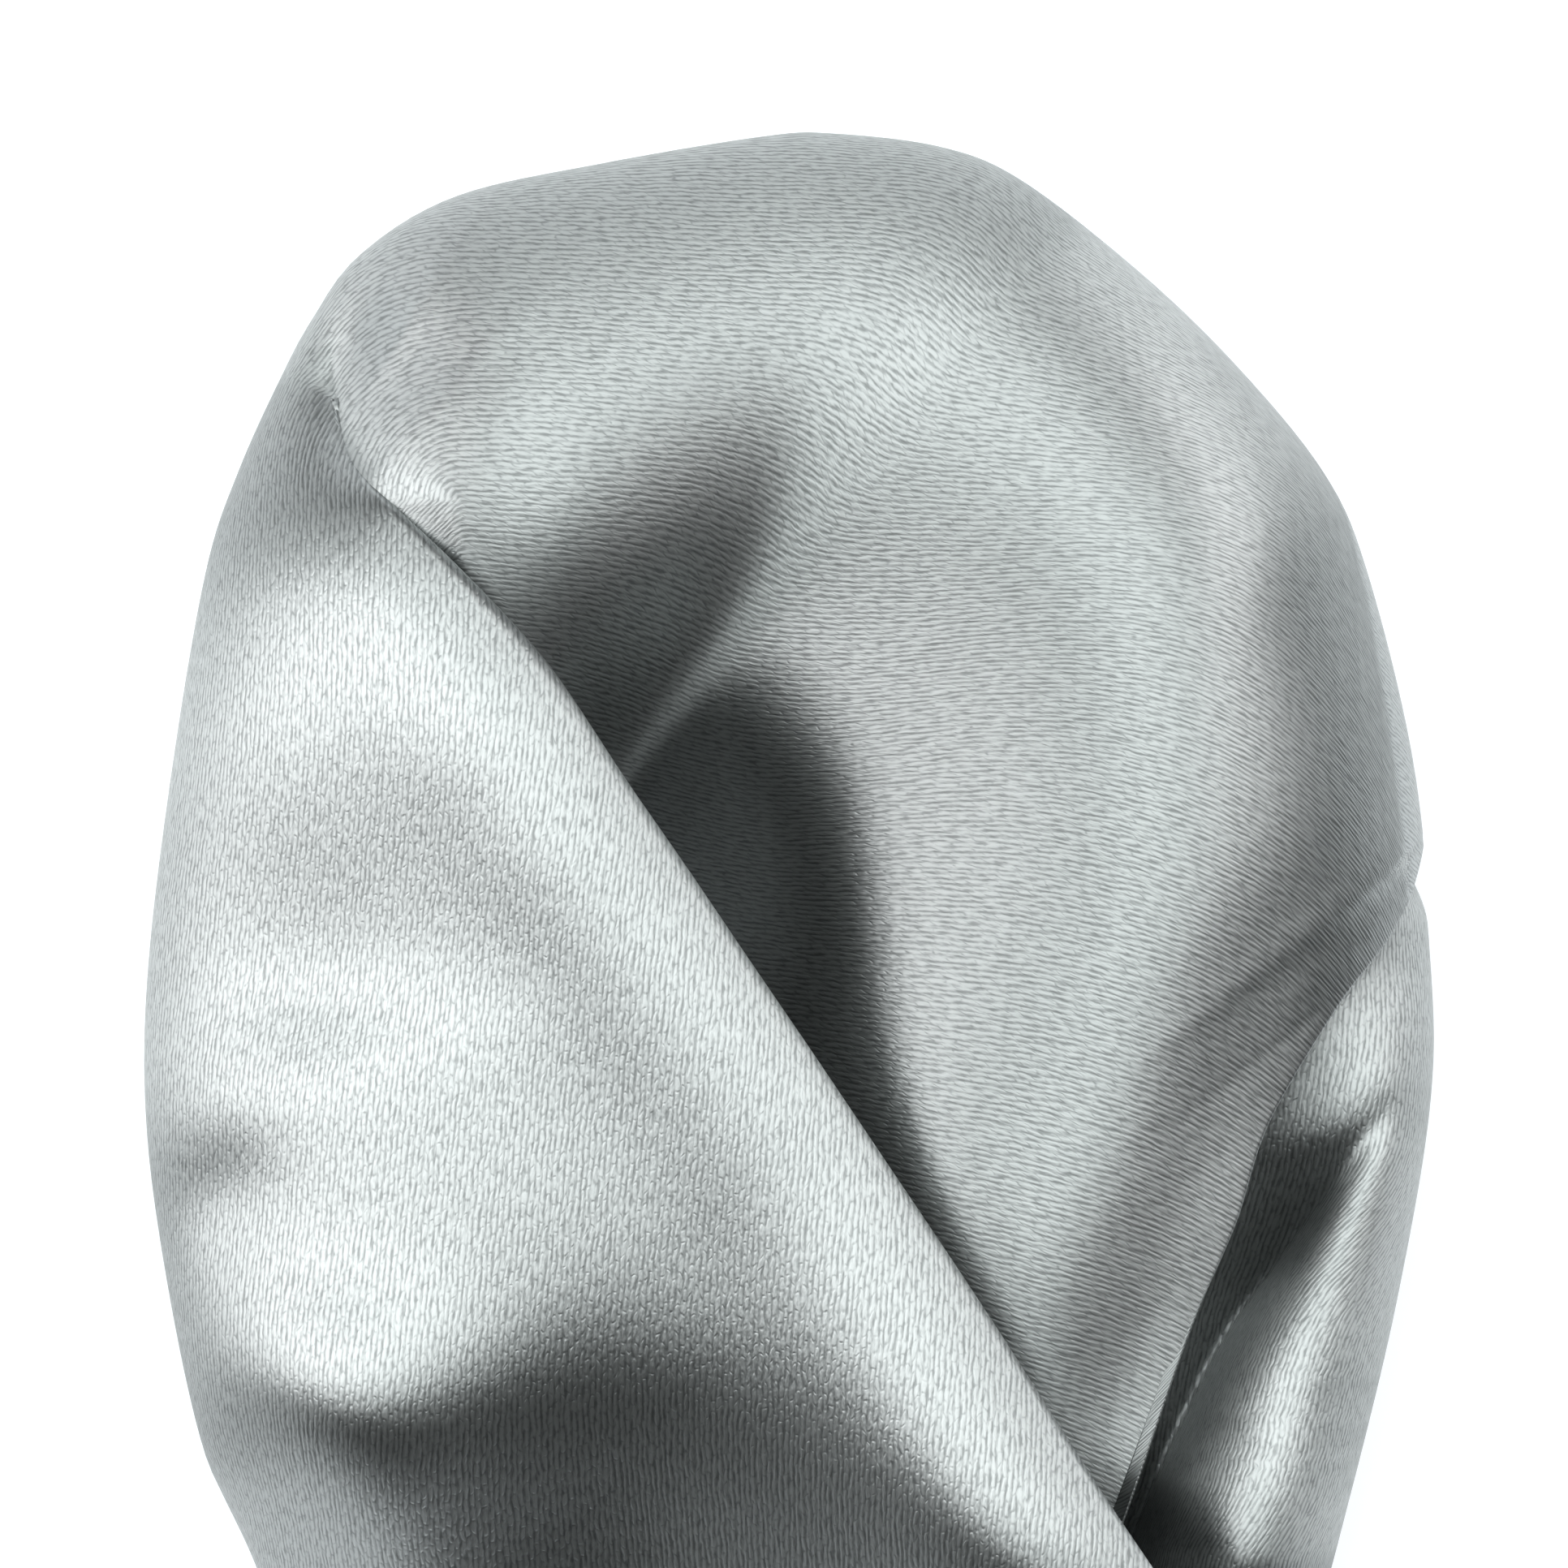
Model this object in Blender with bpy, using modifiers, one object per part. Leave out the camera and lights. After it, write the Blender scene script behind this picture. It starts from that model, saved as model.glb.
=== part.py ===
"""A satin pocket square in a puff fold, lying on its back with its tails folded up under it.

Run it with blender --background --python part.py, or from Blender's text editor.
The tables are in millimetres. X is to the right across the puff, Y runs up from the gathered neck
to the top of the puff, Z is up from the table. The origin is under the middle, on the table.
"""

import math
from collections import namedtuple

import bpy
import numpy as np

MM = 0.001

# The cloth, and the clearances that keep the pieces apart
WALL = 1.0
SEAM_GAP = 0.3
LAYER_STEP = WALL + 0.9

# The outline of the puff seen from above, clockwise from the ear, where the wrap turns over
Point = namedtuple("Point", "x y")
OUTLINE = [
    Point(-33.6, 46.5), Point(-31.7, 50.1), Point(-28.5, 54.4), Point(-22.1, 58.3),
    Point(-12.4, 60.5), Point(-1.7, 62.3), Point(2.9, 62.5), Point(10.1, 61.6),
    Point(15.4, 59.4), Point(23.0, 53.5), Point(29.4, 47.3), Point(35.3, 40.1),
    Point(38.2, 33.6), Point(41.3, 20.8), Point(42.5, 7.9), Point(42.4, -1.7),
    Point(40.2, -14.6), Point(37.1, -27.5), Point(34.2, -38.0), Point(30.0, -48.0),
    Point(24.5, -56.8), Point(15.0, -62.1), Point(0.0, -63.0), Point(-15.0, -62.1),
    Point(-24.5, -56.4), Point(-30.6, -46.0), Point(-35.4, -32.4), Point(-38.7, -24.3),
    Point(-41.4, -11.4), Point(-42.5, -1.7), Point(-42.3, 7.9), Point(-40.7, 20.8),
    Point(-38.5, 33.6), Point(-36.4, 40.1),
]

# The edge of the front wrap, from the ear down to where it goes over the right side
WRAP_EDGE = [
    Point(-29.6, 44.5), Point(-28.8, 41.5), Point(-27.4, 39.1), Point(-21.6, 33.7),
    Point(-15.3, 27.3), Point(-10.0, 19.7), Point(-4.8, 12.2), Point(4.0, -0.9),
    Point(13.5, -15.0), Point(24.1, -31.5), Point(28.0, -37.0), Point(32.6, -42.4),
]

# The edge of the back puff over the side pleat, from the right side down to the wrap
PUFF_EDGE = [
    Point(41.9, 15.6), Point(40.4, 11.7), Point(38.4, 8.6), Point(35.5, 5.0),
    Point(31.0, -2.4), Point(28.8, -9.0), Point(26.0, -15.6), Point(22.9, -24.6),
    Point(20.5, -32.0),
]

# The form under the folds, by Y: the height of the cloth at X = -STATION, 0 and STATION, the
# height of the widest point of the side, and how far in from the side the cloth rounds over
STATION = 30.0
FormRow = namedtuple("FormRow", "y left middle right side shoulder")
FORM = [
    FormRow(62.5, 23.0, 24.0, 22.0, 11.0, 26.0),
    FormRow(48.0, 25.0, 27.0, 26.0, 11.5, 28.0),
    FormRow(25.0, 29.0, 30.5, 28.0, 12.0, 30.0),
    FormRow(0.0, 30.5, 32.0, 28.0, 12.5, 30.0),
    FormRow(-18.0, 29.5, 31.0, 26.0, 12.5, 28.0),
    FormRow(-30.0, 24.0, 26.0, 24.0, 12.0, 24.0),
    FormRow(-42.0, 18.5, 20.0, 19.0, 10.5, 18.0),
    FormRow(-52.0, 15.5, 17.0, 16.0, 9.5, 12.0),
    FormRow(-62.5, 14.5, 15.5, 15.0, 9.0, 9.0),
]

# The slot between wrap and puff, by the distance along the wrap's edge: how far the puff drops
# below the wrap, how wide its hollow is, how far it reaches in under the wrap, and the wrap's ridge
SlotRow = namedtuple("SlotRow", "along drop hollow tuck ridge")
SLOT = [
    SlotRow(0.0, 0.0, 5.0, -0.6, 0.0),
    SlotRow(4.0, 0.8, 6.0, -0.6, 0.2),
    SlotRow(8.0, 2.4, 5.5, -0.6, 0.4),
    SlotRow(14.0, 4.2, 5.5, 3.5, 0.6),
    SlotRow(24.0, 4.8, 6.5, 6.0, 1.0),
    SlotRow(40.0, 8.0, 10.0, 7.0, 1.2),
    SlotRow(54.0, 9.5, 11.0, 7.0, 1.2),
    SlotRow(70.0, 7.0, 9.0, 7.0, 1.2),
    SlotRow(84.0, 4.8, 6.0, 6.0, 1.0),
    SlotRow(98.0, 3.6, 5.0, 5.0, 0.6),
    SlotRow(112.0, 3.2, 4.0, 4.0, 0.0),
]

# The same for the side pleat under the puff's right edge, by the distance along that edge
SideRow = namedtuple("SideRow", "along drop hollow")
SIDE_SLOT = [
    SideRow(0.0, 2.2, 3.0), SideRow(10.0, 3.4, 5.0), SideRow(25.0, 4.6, 6.0),
    SideRow(45.0, 4.6, 5.0), SideRow(56.0, 3.6, 4.0),
]

# The largest folds: a ridge is up and a trough is down by height at the path, with a width to the
# left and right of the path's direction, fading in and out over a share of its length
Fold = namedtuple("Fold", "height left right fade_in fade_out path")
SHARED_FOLDS = [
    Fold(-1.4, 6.0, 7.0, 0.6, 0.4, [Point(-24.5, 54.0), Point(-26.3, 48.0), Point(-26.0, 43.0)]),
]
PUFF_FOLDS = [
    Fold(-4.5, 12.0, 9.0, 0.5, 0.5,
         [Point(-2.5, 55.0), Point(-2.2, 44.8), Point(-4.0, 35.0), Point(-6.4, 27.0), Point(-4.9, 17.6)]),
    Fold(1.2, 9.0, 9.0, 0.4, 0.5,
         [Point(14.0, 56.0), Point(18.5, 40.0), Point(18.0, 20.0), Point(13.0, 0.0)]),
    Fold(-2.0, 8.0, 8.0, 0.4, 0.4,
         [Point(37.0, 24.0), Point(31.0, 8.0), Point(25.0, -8.0), Point(20.5, -24.0)]),
]
WRAP_FOLDS = [
    Fold(-1.3, 9.0, 9.0, 0.5, 0.5, [Point(-32.0, 22.0), Point(-30.0, 12.0), Point(-28.0, 4.0)]),
    Fold(-3.6, 8.0, 10.0, 0.7, 0.2, [Point(-10.0, -14.0), Point(-8.5, -26.0), Point(-6.0, -40.0)]),
    Fold(-1.6, 6.0, 7.0, 0.6, 0.2, [Point(-30.0, -20.0), Point(-27.0, -30.0), Point(-22.0, -42.0)]),
]
SIDE_FOLDS = [
    Fold(-5.8, 4.4, 3.0, 0.35, 0.25,
         [Point(40.5, 0.3), Point(37.4, -2.6), Point(33.7, -8.0), Point(29.5, -15.3), Point(25.6, -24.0),
          Point(22.6, -31.5), Point(20.5, -37.0)]),
    Fold(1.8, 3.4, 5.0, 0.5, 0.3,
         [Point(39.0, -6.0), Point(34.6, -14.0), Point(31.0, -22.0), Point(28.5, -30.0)]),
    Fold(-2.2, 3.6, 4.4, 0.7, 0.3, [Point(33.5, -24.0), Point(31.5, -32.0), Point(28.5, -41.0)]),
]

# The pleats that run up from the gathered neck, by the direction that each takes from GATHER
GATHER = Point(0.0, -92.0)
Pleat = namedtuple("Pleat", "angle depth width reach")
PLEATS = [
    Pleat(-34.0, 1.1, 3.8, -42.0), Pleat(-23.5, 1.5, 4.0, -38.0), Pleat(-12.5, 1.7, 4.0, -36.0),
    Pleat(-1.5, 1.4, 3.9, -41.0), Pleat(9.5, 1.7, 4.0, -37.0), Pleat(20.5, 1.5, 3.9, -41.0),
    Pleat(31.0, 1.1, 3.6, -44.0),
]
PLEAT_START = -36.0
PLEAT_FADE = 14.0

# The sheets turn in under the puff at its sides, and end higher at the neck, over the tails
APRON_INSET = 6.5
NECK_APRON_INSET = 2.6
NECK_CLEAR = 0.6
NECK_TOP = -53.0
NECK_BLEND = 7.0

# A free edge rolls down by this much
EDGE_ROLL = 1.6
EDGE_ROLL_FADE = 14.0
EDGE_ROLL_WIDTH = 5.0

# How far before its corner on the right side the back puff starts to draw up from the table
PUFF_CORNER = 12.0

# The side folds: where they start and end on the outline, and their hidden edge under puff and wrap
SIDE_INSET = 2.4
SIDE_LIFT = 1.5
SIDE_START = Point(40.4, 25.0)
SIDE_END = Point(31.3, -45.2)
SIDE_HIDDEN_EDGE = [
    Point(34.5, 27.0), Point(33.0, 14.0), Point(28.0, 4.0), Point(23.5, -8.0),
    Point(19.5, -19.0), Point(17.0, -29.0), Point(18.5, -37.0), Point(24.5, -42.8),
]

# How far along its edge and along the outline each sheet's ribs start and end
PairRow = namedtuple("PairRow", "edge outer")
WRAP_PAIRS = [
    PairRow(0.0, 0.0), PairRow(42.0, 49.4), PairRow(58.0, 75.0), PairRow(66.0, 92.0), PairRow(75.0, 107.0),
    PairRow(85.0, 121.0), PairRow(95.0, 139.0), PairRow(102.0, 156.0), PairRow(107.5, 175.0),
]
PUFF_PAIRS = [
    PairRow(0.0, 0.0), PairRow(2.5, 21.0), PairRow(6.5, 32.0), PairRow(14.0, 40.0), PairRow(24.0, 50.0),
    PairRow(36.0, 63.0), PairRow(48.0, 80.0), PairRow(58.0, 97.0), PairRow(66.0, 109.0),
    PairRow(76.0, 131.0), PairRow(88.0, 163.0),
]

# How the ribs are spread over each edge: closer together at the ear and, on the wrap, at the neck
SpreadRow = namedtuple("SpreadRow", "rib edge")
WRAP_SPREAD = [SpreadRow(0, 0.0), SpreadRow(5, 8.0), SpreadRow(27, 66.0), SpreadRow(69, 107.5)]
PUFF_SPREAD = [SpreadRow(0, 0.0), SpreadRow(5, 2.5), SpreadRow(8, 6.5), SpreadRow(42, 88.0)]

# The tucked layers: a rounded shoulder, then the folded tails as a stack of turned-back layers.
# Each row gives how far its ring lies in from the outline, the same at the neck, and its height
# as a share of the way from the tails up to the rim of the rounded top.
TAIL_LAYERS = 3
TAIL_LAYER = 1.35
TAIL_GROOVE = 0.35
MIDDLE = Point(-1.0, -2.0)
ShoulderRow = namedtuple("ShoulderRow", "inset neck_inset share")
LAYER_SHOULDER = [
    ShoulderRow(4.4, 6.4, 1.0), ShoulderRow(5.2, 6.4, 0.55), ShoulderRow(7.0, 6.4, 0.22),
    ShoulderRow(9.2, 5.6, 0.06),
]
TAIL_INSET = 9.8
NECK_TAIL_INSET = 2.4
GROOVE_DEPTH = 0.7

Material = namedtuple("Material", "name colour roughness metallic")
SATIN = Material("silver polyester satin", (0.52, 0.53, 0.54, 1.0), 0.38, 0.35)
SATIN_SHADE = Material("silver satin, inner layers", (0.44, 0.45, 0.46, 1.0), 0.42, 0.3)


class Path:
    """A smooth curve through points in the plane, read by the distance along it."""

    def __init__(self, points, closed=False, per_span=16):
        knots = np.array(points, float)
        if closed:
            padded = np.vstack([knots[-1:], knots, knots[:2]])
        else:
            padded = np.vstack([2 * knots[0] - knots[1], knots, 2 * knots[-1] - knots[-2]])
        share = np.linspace(0, 1, per_span, endpoint=False)[:, None]
        spans = []
        for a, b, c, d in zip(padded, padded[1:], padded[2:], padded[3:]):
            spans.append(0.5 * (2 * b + (c - a) * share + (2 * a - 5 * b + 4 * c - d) * share**2
                                + (3 * b - a - 3 * c + d) * share**3))
        last = knots[:1] if closed else knots[-1:]
        self.line = np.vstack(spans + [last])
        steps = np.linalg.norm(np.diff(self.line, axis=0), axis=1)
        self.along = np.concatenate([[0], np.cumsum(steps)])
        self.length = self.along[-1]

    def at(self, distance):
        """The points at these distances along the path."""
        return np.column_stack([np.interp(distance, self.along, self.line[:, k]) for k in (0, 1)])

    def inward(self, distance):
        """The unit vectors to the right of the path, which is inwards on a clockwise outline."""
        run = self.at(np.minimum(distance + 0.4, self.length)) - self.at(np.maximum(distance - 0.4, 0))
        run /= np.linalg.norm(run, axis=1)[:, None]
        return np.column_stack([run[:, 1], -run[:, 0]])

    def place(self, x, y):
        """(how far along the nearest point is, how far the point is to the left of the path)."""
        points = np.column_stack([np.ravel(x), np.ravel(y)])
        start, run = self.line[:-1], np.diff(self.line, axis=0)
        size = np.maximum((run**2).sum(axis=1), 1e-12)
        from_start = points[:, None, :] - start[None]
        share = np.clip((from_start * run).sum(axis=2) / size, 0, 1)
        away = from_start - share[..., None] * run
        distance = np.sqrt((away**2).sum(axis=2))
        near = distance.argmin(axis=1)
        row = np.arange(len(points))
        along = self.along[near] + share[row, near] * np.sqrt(size[near])
        side = run[near, 0] * away[row, near, 1] - run[near, 1] * away[row, near, 0]
        across = np.where(side >= 0, 1, -1) * distance[row, near]
        return along.reshape(np.shape(x)), across.reshape(np.shape(x))


def smooth_step(t):
    """0 below 0, 1 above 1, and smooth between."""
    t = np.clip(t, 0, 1)
    return t * t * (3 - 2 * t)


def round_over(t):
    """The profile of a rounded edge: upright at 0, and flat from 1 on."""
    t = np.clip(t, 0, 1)
    return (1 - (1 - t) ** 2.2) ** (1 / 2.2)


def read_table(rows, column, key, value):
    """A column of a table at these values of its key, on a smooth curve through its rows."""
    order = sorted(rows, key=lambda row: getattr(row, key))
    keys = np.array([getattr(row, key) for row in order], float)
    values = np.array([getattr(row, column) for row in order], float)
    slopes = np.gradient(values, keys)
    value = np.clip(value, keys[0], keys[-1])
    span = np.clip(np.searchsorted(keys, value) - 1, 0, len(keys) - 2)
    width = keys[span + 1] - keys[span]
    t = (value - keys[span]) / width
    return ((2 * t**3 - 3 * t**2 + 1) * values[span] + (t**3 - 2 * t**2 + t) * width * slopes[span]
            + (3 * t**2 - 2 * t**3) * values[span + 1] + (t**3 - t**2) * width * slopes[span + 1])


OUTLINE_PATH = Path(OUTLINE, closed=True)
WRAP_PATH = Path(WRAP_EDGE)
PUFF_PATH = Path(PUFF_EDGE)
HIDDEN_PATH = Path(SIDE_HIDDEN_EDGE)


def fold_height(folds, x, y):
    """What a list of folds adds to the height."""
    height = np.zeros(np.shape(x))
    for fold in folds:
        path = Path(fold.path)
        along, across = path.place(x, y)
        width = np.where(across > 0, fold.left, fold.right)
        share = along / path.length
        fade = smooth_step(share / fold.fade_in) * smooth_step((1 - share) / fold.fade_out)
        height += fold.height * fade * np.exp(-((across / width) ** 2))
    return height


def form_height(x, y, inset=0.0):
    """The height of the puff's form with no folds, for an outline drawn in by inset."""
    _, across = OUTLINE_PATH.place(x, y)
    depth = np.maximum(-across - inset, 0)
    left, middle, right, side, shoulder = (
        read_table(FORM, column, "y", y) for column in ("left", "middle", "right", "side", "shoulder")
    )
    s = np.clip(x / STATION, -1.4, 1.4)
    cap = middle + s * (right - left) / 2 + s * s * ((right + left) / 2 - middle)
    return side + (cap - side) * round_over(depth / shoulder) + fold_height(SHARED_FOLDS, x, y)


def edge_roll(along, across):
    """How far a free edge rolls down, by the distance along it and in from it."""
    near_edge = np.clip(1 - np.abs(across) / EDGE_ROLL_WIDTH, 0, 1)
    return EDGE_ROLL * smooth_step(along / EDGE_ROLL_FADE) * near_edge**2


def wrap_height(x, y, inset=0.0):
    """The front wrap: the form, with a ridge inside its rolled edge and its own folds."""
    along, across = WRAP_PATH.place(x, y)
    ridge = read_table(SLOT, "ridge", "along", along) * np.exp(-(((across + 7.0) / 5.0) ** 2))
    return form_height(x, y, inset) + ridge - edge_roll(along, across) + fold_height(WRAP_FOLDS, x, y)


def puff_floor(x, y, inset=0.0):
    """The back puff without its rolled edge: it drops beside the wrap, and stays low under it."""
    along, across = WRAP_PATH.place(x, y)
    drop, hollow = (read_table(SLOT, column, "along", along) for column in ("drop", "hollow"))
    beside = np.exp(-((np.maximum(across, 0) / hollow) ** 2))
    folds = fold_height(PUFF_FOLDS, x, y) * (1 - 0.75 * beside * smooth_step(along / 12))
    return form_height(x, y, inset) + folds - drop * beside


def puff_height(x, y):
    """The back puff."""
    return puff_floor(x, y) - edge_roll(*PUFF_PATH.place(x, y))


def side_covered(y):
    """1 where the puff or the wrap covers the outer side of the side folds, and 0 where they show."""
    return smooth_step((y - 10.0) / 8.0) + smooth_step((-35.0 - y) / 7.0)


def side_height(x, y):
    """The side pleat and roll: below the puff where that covers them, and up to the right side."""
    along, across = PUFF_PATH.place(x, y)
    drop, hollow = (read_table(SIDE_SLOT, column, "along", along) for column in ("drop", "hollow"))
    under_puff = drop * np.exp(-((np.maximum(across, 0) / hollow) ** 2))
    return puff_floor(x, y, SIDE_INSET * side_covered(y)) - under_puff + fold_height(SIDE_FOLDS, x, y)


def pleat_depth(x, y):
    """How deep the neck's pleats are at these points."""
    angle = np.degrees(np.arctan2(x - GATHER.x, y - GATHER.y))
    depth = np.zeros(np.shape(x))
    for pleat in PLEATS:
        fade = smooth_step((pleat.reach - y) / PLEAT_FADE)
        depth += pleat.depth * fade * np.exp(-(((angle - pleat.angle) / pleat.width) ** 2))
    return depth


def neck_share(y):
    """0 on the body of the puff, rising to 1 at its neck."""
    return smooth_step((NECK_TOP - y) / NECK_BLEND + 0.5)


def sheet_grid(inner, outer, inward, height, end, reach, rows):
    """Ribs of cloth from an inner guide line over to an outer one, and on down and in under it.

    Each rib is cut into equal steps along the cloth. End is the height where it ends, and reach is
    how much of the way from the outer guide down to that end each rib covers.
    """
    share = 1 - (1 - np.linspace(0, 1, 40)) ** 1.8
    place = inner[:, None] + (outer - inner)[:, None] * share[:, None]
    top = np.dstack([place, height(place[..., 0], place[..., 1])])
    neck = neck_share(outer[:, 1])[:, None]
    depth_in = APRON_INSET + (NECK_APRON_INSET - APRON_INSET) * neck
    turn = np.linspace(0, math.pi / 2, 13)[1:]
    under = outer[:, None] + inward[:, None] * (depth_in * (1 - np.cos(turn)))[..., None]
    under_height = top[:, -1:, 2] - (top[:, -1:, 2] - end[:, None]) * np.sin(turn)
    line = np.concatenate([top, np.dstack([under, under_height])], axis=1)
    along = np.cumsum(np.linalg.norm(np.diff(line, axis=1, prepend=line[:, :1]), axis=2), axis=1)
    crest = along[:, len(share) - 1]
    grid = []
    for rib, distance, length in zip(line, along, crest + (along[:, -1] - crest) * reach):
        steps = np.linspace(0, length, rows)
        grid.append(np.column_stack([np.interp(steps, distance, rib[:, k]) for k in range(3)]))
    return np.array(grid)


def grid_normals(grid):
    """The unit normal at each point of a grid of points."""
    normal = np.cross(np.gradient(grid, axis=0), np.gradient(grid, axis=1))
    return normal / np.maximum(np.linalg.norm(normal, axis=2), 1e-9)[..., None]


def read_line(rows, value):
    """The second column of a table of two columns, on straight lines between its rows."""
    first, second = zip(*rows)
    return np.interp(value, first, second)


def new_material(material):
    """A Blender material with a Principled BSDF."""
    made = bpy.data.materials.new(material.name)
    made.use_nodes = True
    shader = made.node_tree.nodes["Principled BSDF"]
    shader.inputs["Base Color"].default_value = material.colour
    shader.inputs["Roughness"].default_value = material.roughness
    shader.inputs["Metallic"].default_value = material.metallic
    made.diffuse_color = material.colour
    return made


def add_object(name, points, faces, collection, material):
    """A smooth mesh object from points in millimetres."""
    mesh = bpy.data.meshes.new(name)
    mesh.from_pydata((np.asarray(points) * MM).tolist(), [], faces)
    mesh.shade_smooth()
    mesh.materials.append(material)
    made = bpy.data.objects.new(name, mesh)
    collection.objects.link(made)
    return made


def add_cloth(name, grid, collection, material):
    """An open sheet from a grid of points, given its thickness inwards by Solidify."""
    ribs, rows = grid.shape[:2]
    faces = []
    for rib in range(ribs - 1):
        for row in range(rows - 1):
            near, far = rib * rows + row, (rib + 1) * rows + row
            faces.append((near, far, far + 1, near + 1))
    sheet = add_object(name, grid.reshape(-1, 3), faces, collection, material)
    wall = sheet.modifiers.new("cloth thickness", "SOLIDIFY")
    wall.thickness = WALL * MM
    wall.offset = -1
    return sheet


def build_wrap(collection, material):
    """The front wrap, from its rolled edge over the left side and the neck, down to the table."""
    edge_at = read_line(WRAP_SPREAD, np.arange(WRAP_SPREAD[-1].rib + 1))
    corner = OUTLINE_PATH.place(WRAP_EDGE[-1].x, WRAP_EDGE[-1].y)[0]
    outer_at = np.maximum(OUTLINE_PATH.length - SEAM_GAP - read_line(WRAP_PAIRS, edge_at), corner)
    edge, outline = WRAP_PATH.at(edge_at), OUTLINE_PATH.at(outer_at)
    edge[0, 1] -= SEAM_GAP
    end = (TAIL_LAYERS * TAIL_LAYER + NECK_CLEAR) * neck_share(outline[:, 1])
    reach = np.ones(len(edge))
    grid = sheet_grid(edge, outline, OUTLINE_PATH.inward(outer_at), wrap_height, end, reach, 23)[::-1]
    grid -= grid_normals(grid) * pleat_depth(grid[..., 0], grid[..., 1])[..., None]
    return add_cloth("front_wrap", grid, collection, material)


def build_puff(collection, material):
    """The back puff, from under the wrap over the top and right, to its edge over the side folds."""
    edge_at = read_line(PUFF_SPREAD, np.arange(PUFF_SPREAD[-1].rib + 1))
    tuck = read_table(SLOT, "tuck", "along", edge_at)
    hidden = WRAP_PATH.at(edge_at) + WRAP_PATH.inward(edge_at) * tuck[:, None]
    hidden[0, 1] += SEAM_GAP
    corner = OUTLINE_PATH.place(PUFF_EDGE[0].x, PUFF_EDGE[0].y)[0]
    outer_at = SEAM_GAP + read_line(PUFF_PAIRS, edge_at)
    on_side = np.minimum(outer_at, corner)
    on_edge = PUFF_PATH.at(np.clip(outer_at - corner, 0, PUFF_PATH.length))
    outer = np.where((outer_at < corner)[:, None], OUTLINE_PATH.at(on_side), on_edge)
    reach = smooth_step((corner - outer_at) / PUFF_CORNER)
    end = np.zeros(len(outer))
    grid = sheet_grid(hidden, outer, OUTLINE_PATH.inward(on_side), puff_height, end, reach, 20)
    return add_cloth("back_puff", grid, collection, material)


def build_side(collection, material):
    """The pleat and the roll that come out from under the puff on the right side."""
    share = np.linspace(0, 1, 40)
    first = OUTLINE_PATH.place(SIDE_START.x, SIDE_START.y)[0]
    last = OUTLINE_PATH.place(SIDE_END.x, SIDE_END.y)[0]
    outline_at = first + share * (last - first)
    outline, inward = OUTLINE_PATH.at(outline_at), OUTLINE_PATH.inward(outline_at)
    covered = side_covered(outline[:, 1])
    outline = outline + inward * (SIDE_INSET * covered)[:, None]
    hidden = HIDDEN_PATH.at(share * HIDDEN_PATH.length)
    grid = sheet_grid(hidden, outline, inward, side_height, SIDE_LIFT * covered, np.ones(len(share)), 21)
    return add_cloth("side_folds", grid, collection, material)


def layers_height(x, y):
    """The highest that the tucked layers may reach under the sheets that lie over them."""
    along, across = WRAP_PATH.place(x, y)
    past_puff = smooth_step((-across - read_table(SLOT, "tuck", "along", along) - 1.0) / 8.0)
    _, into_side = HIDDEN_PATH.place(x, y)
    past_side = np.maximum.reduce([-into_side, y - SIDE_START.y, SIDE_END.y - y])
    pleats = 2.2 * smooth_step((PLEAT_START - y) / PLEAT_FADE)
    over = [
        wrap_height(x, y) - pleats,
        puff_height(x, y) + 16.0 * past_puff,
        side_height(x, y) + 16.0 * smooth_step((past_side - 1.0) / 8.0),
    ]
    return np.minimum.reduce(over) - LAYER_STEP


def lowest_around(height, x, y):
    """The lowest value of height within a few millimetres of each point."""
    lowest = height(x, y)
    for distance in (1.6, 3.2):
        for turn in np.linspace(0, 2 * math.pi, 8, endpoint=False):
            beside = height(x + distance * math.cos(turn), y + distance * math.sin(turn))
            lowest = np.minimum(lowest, beside)
    return lowest


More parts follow.
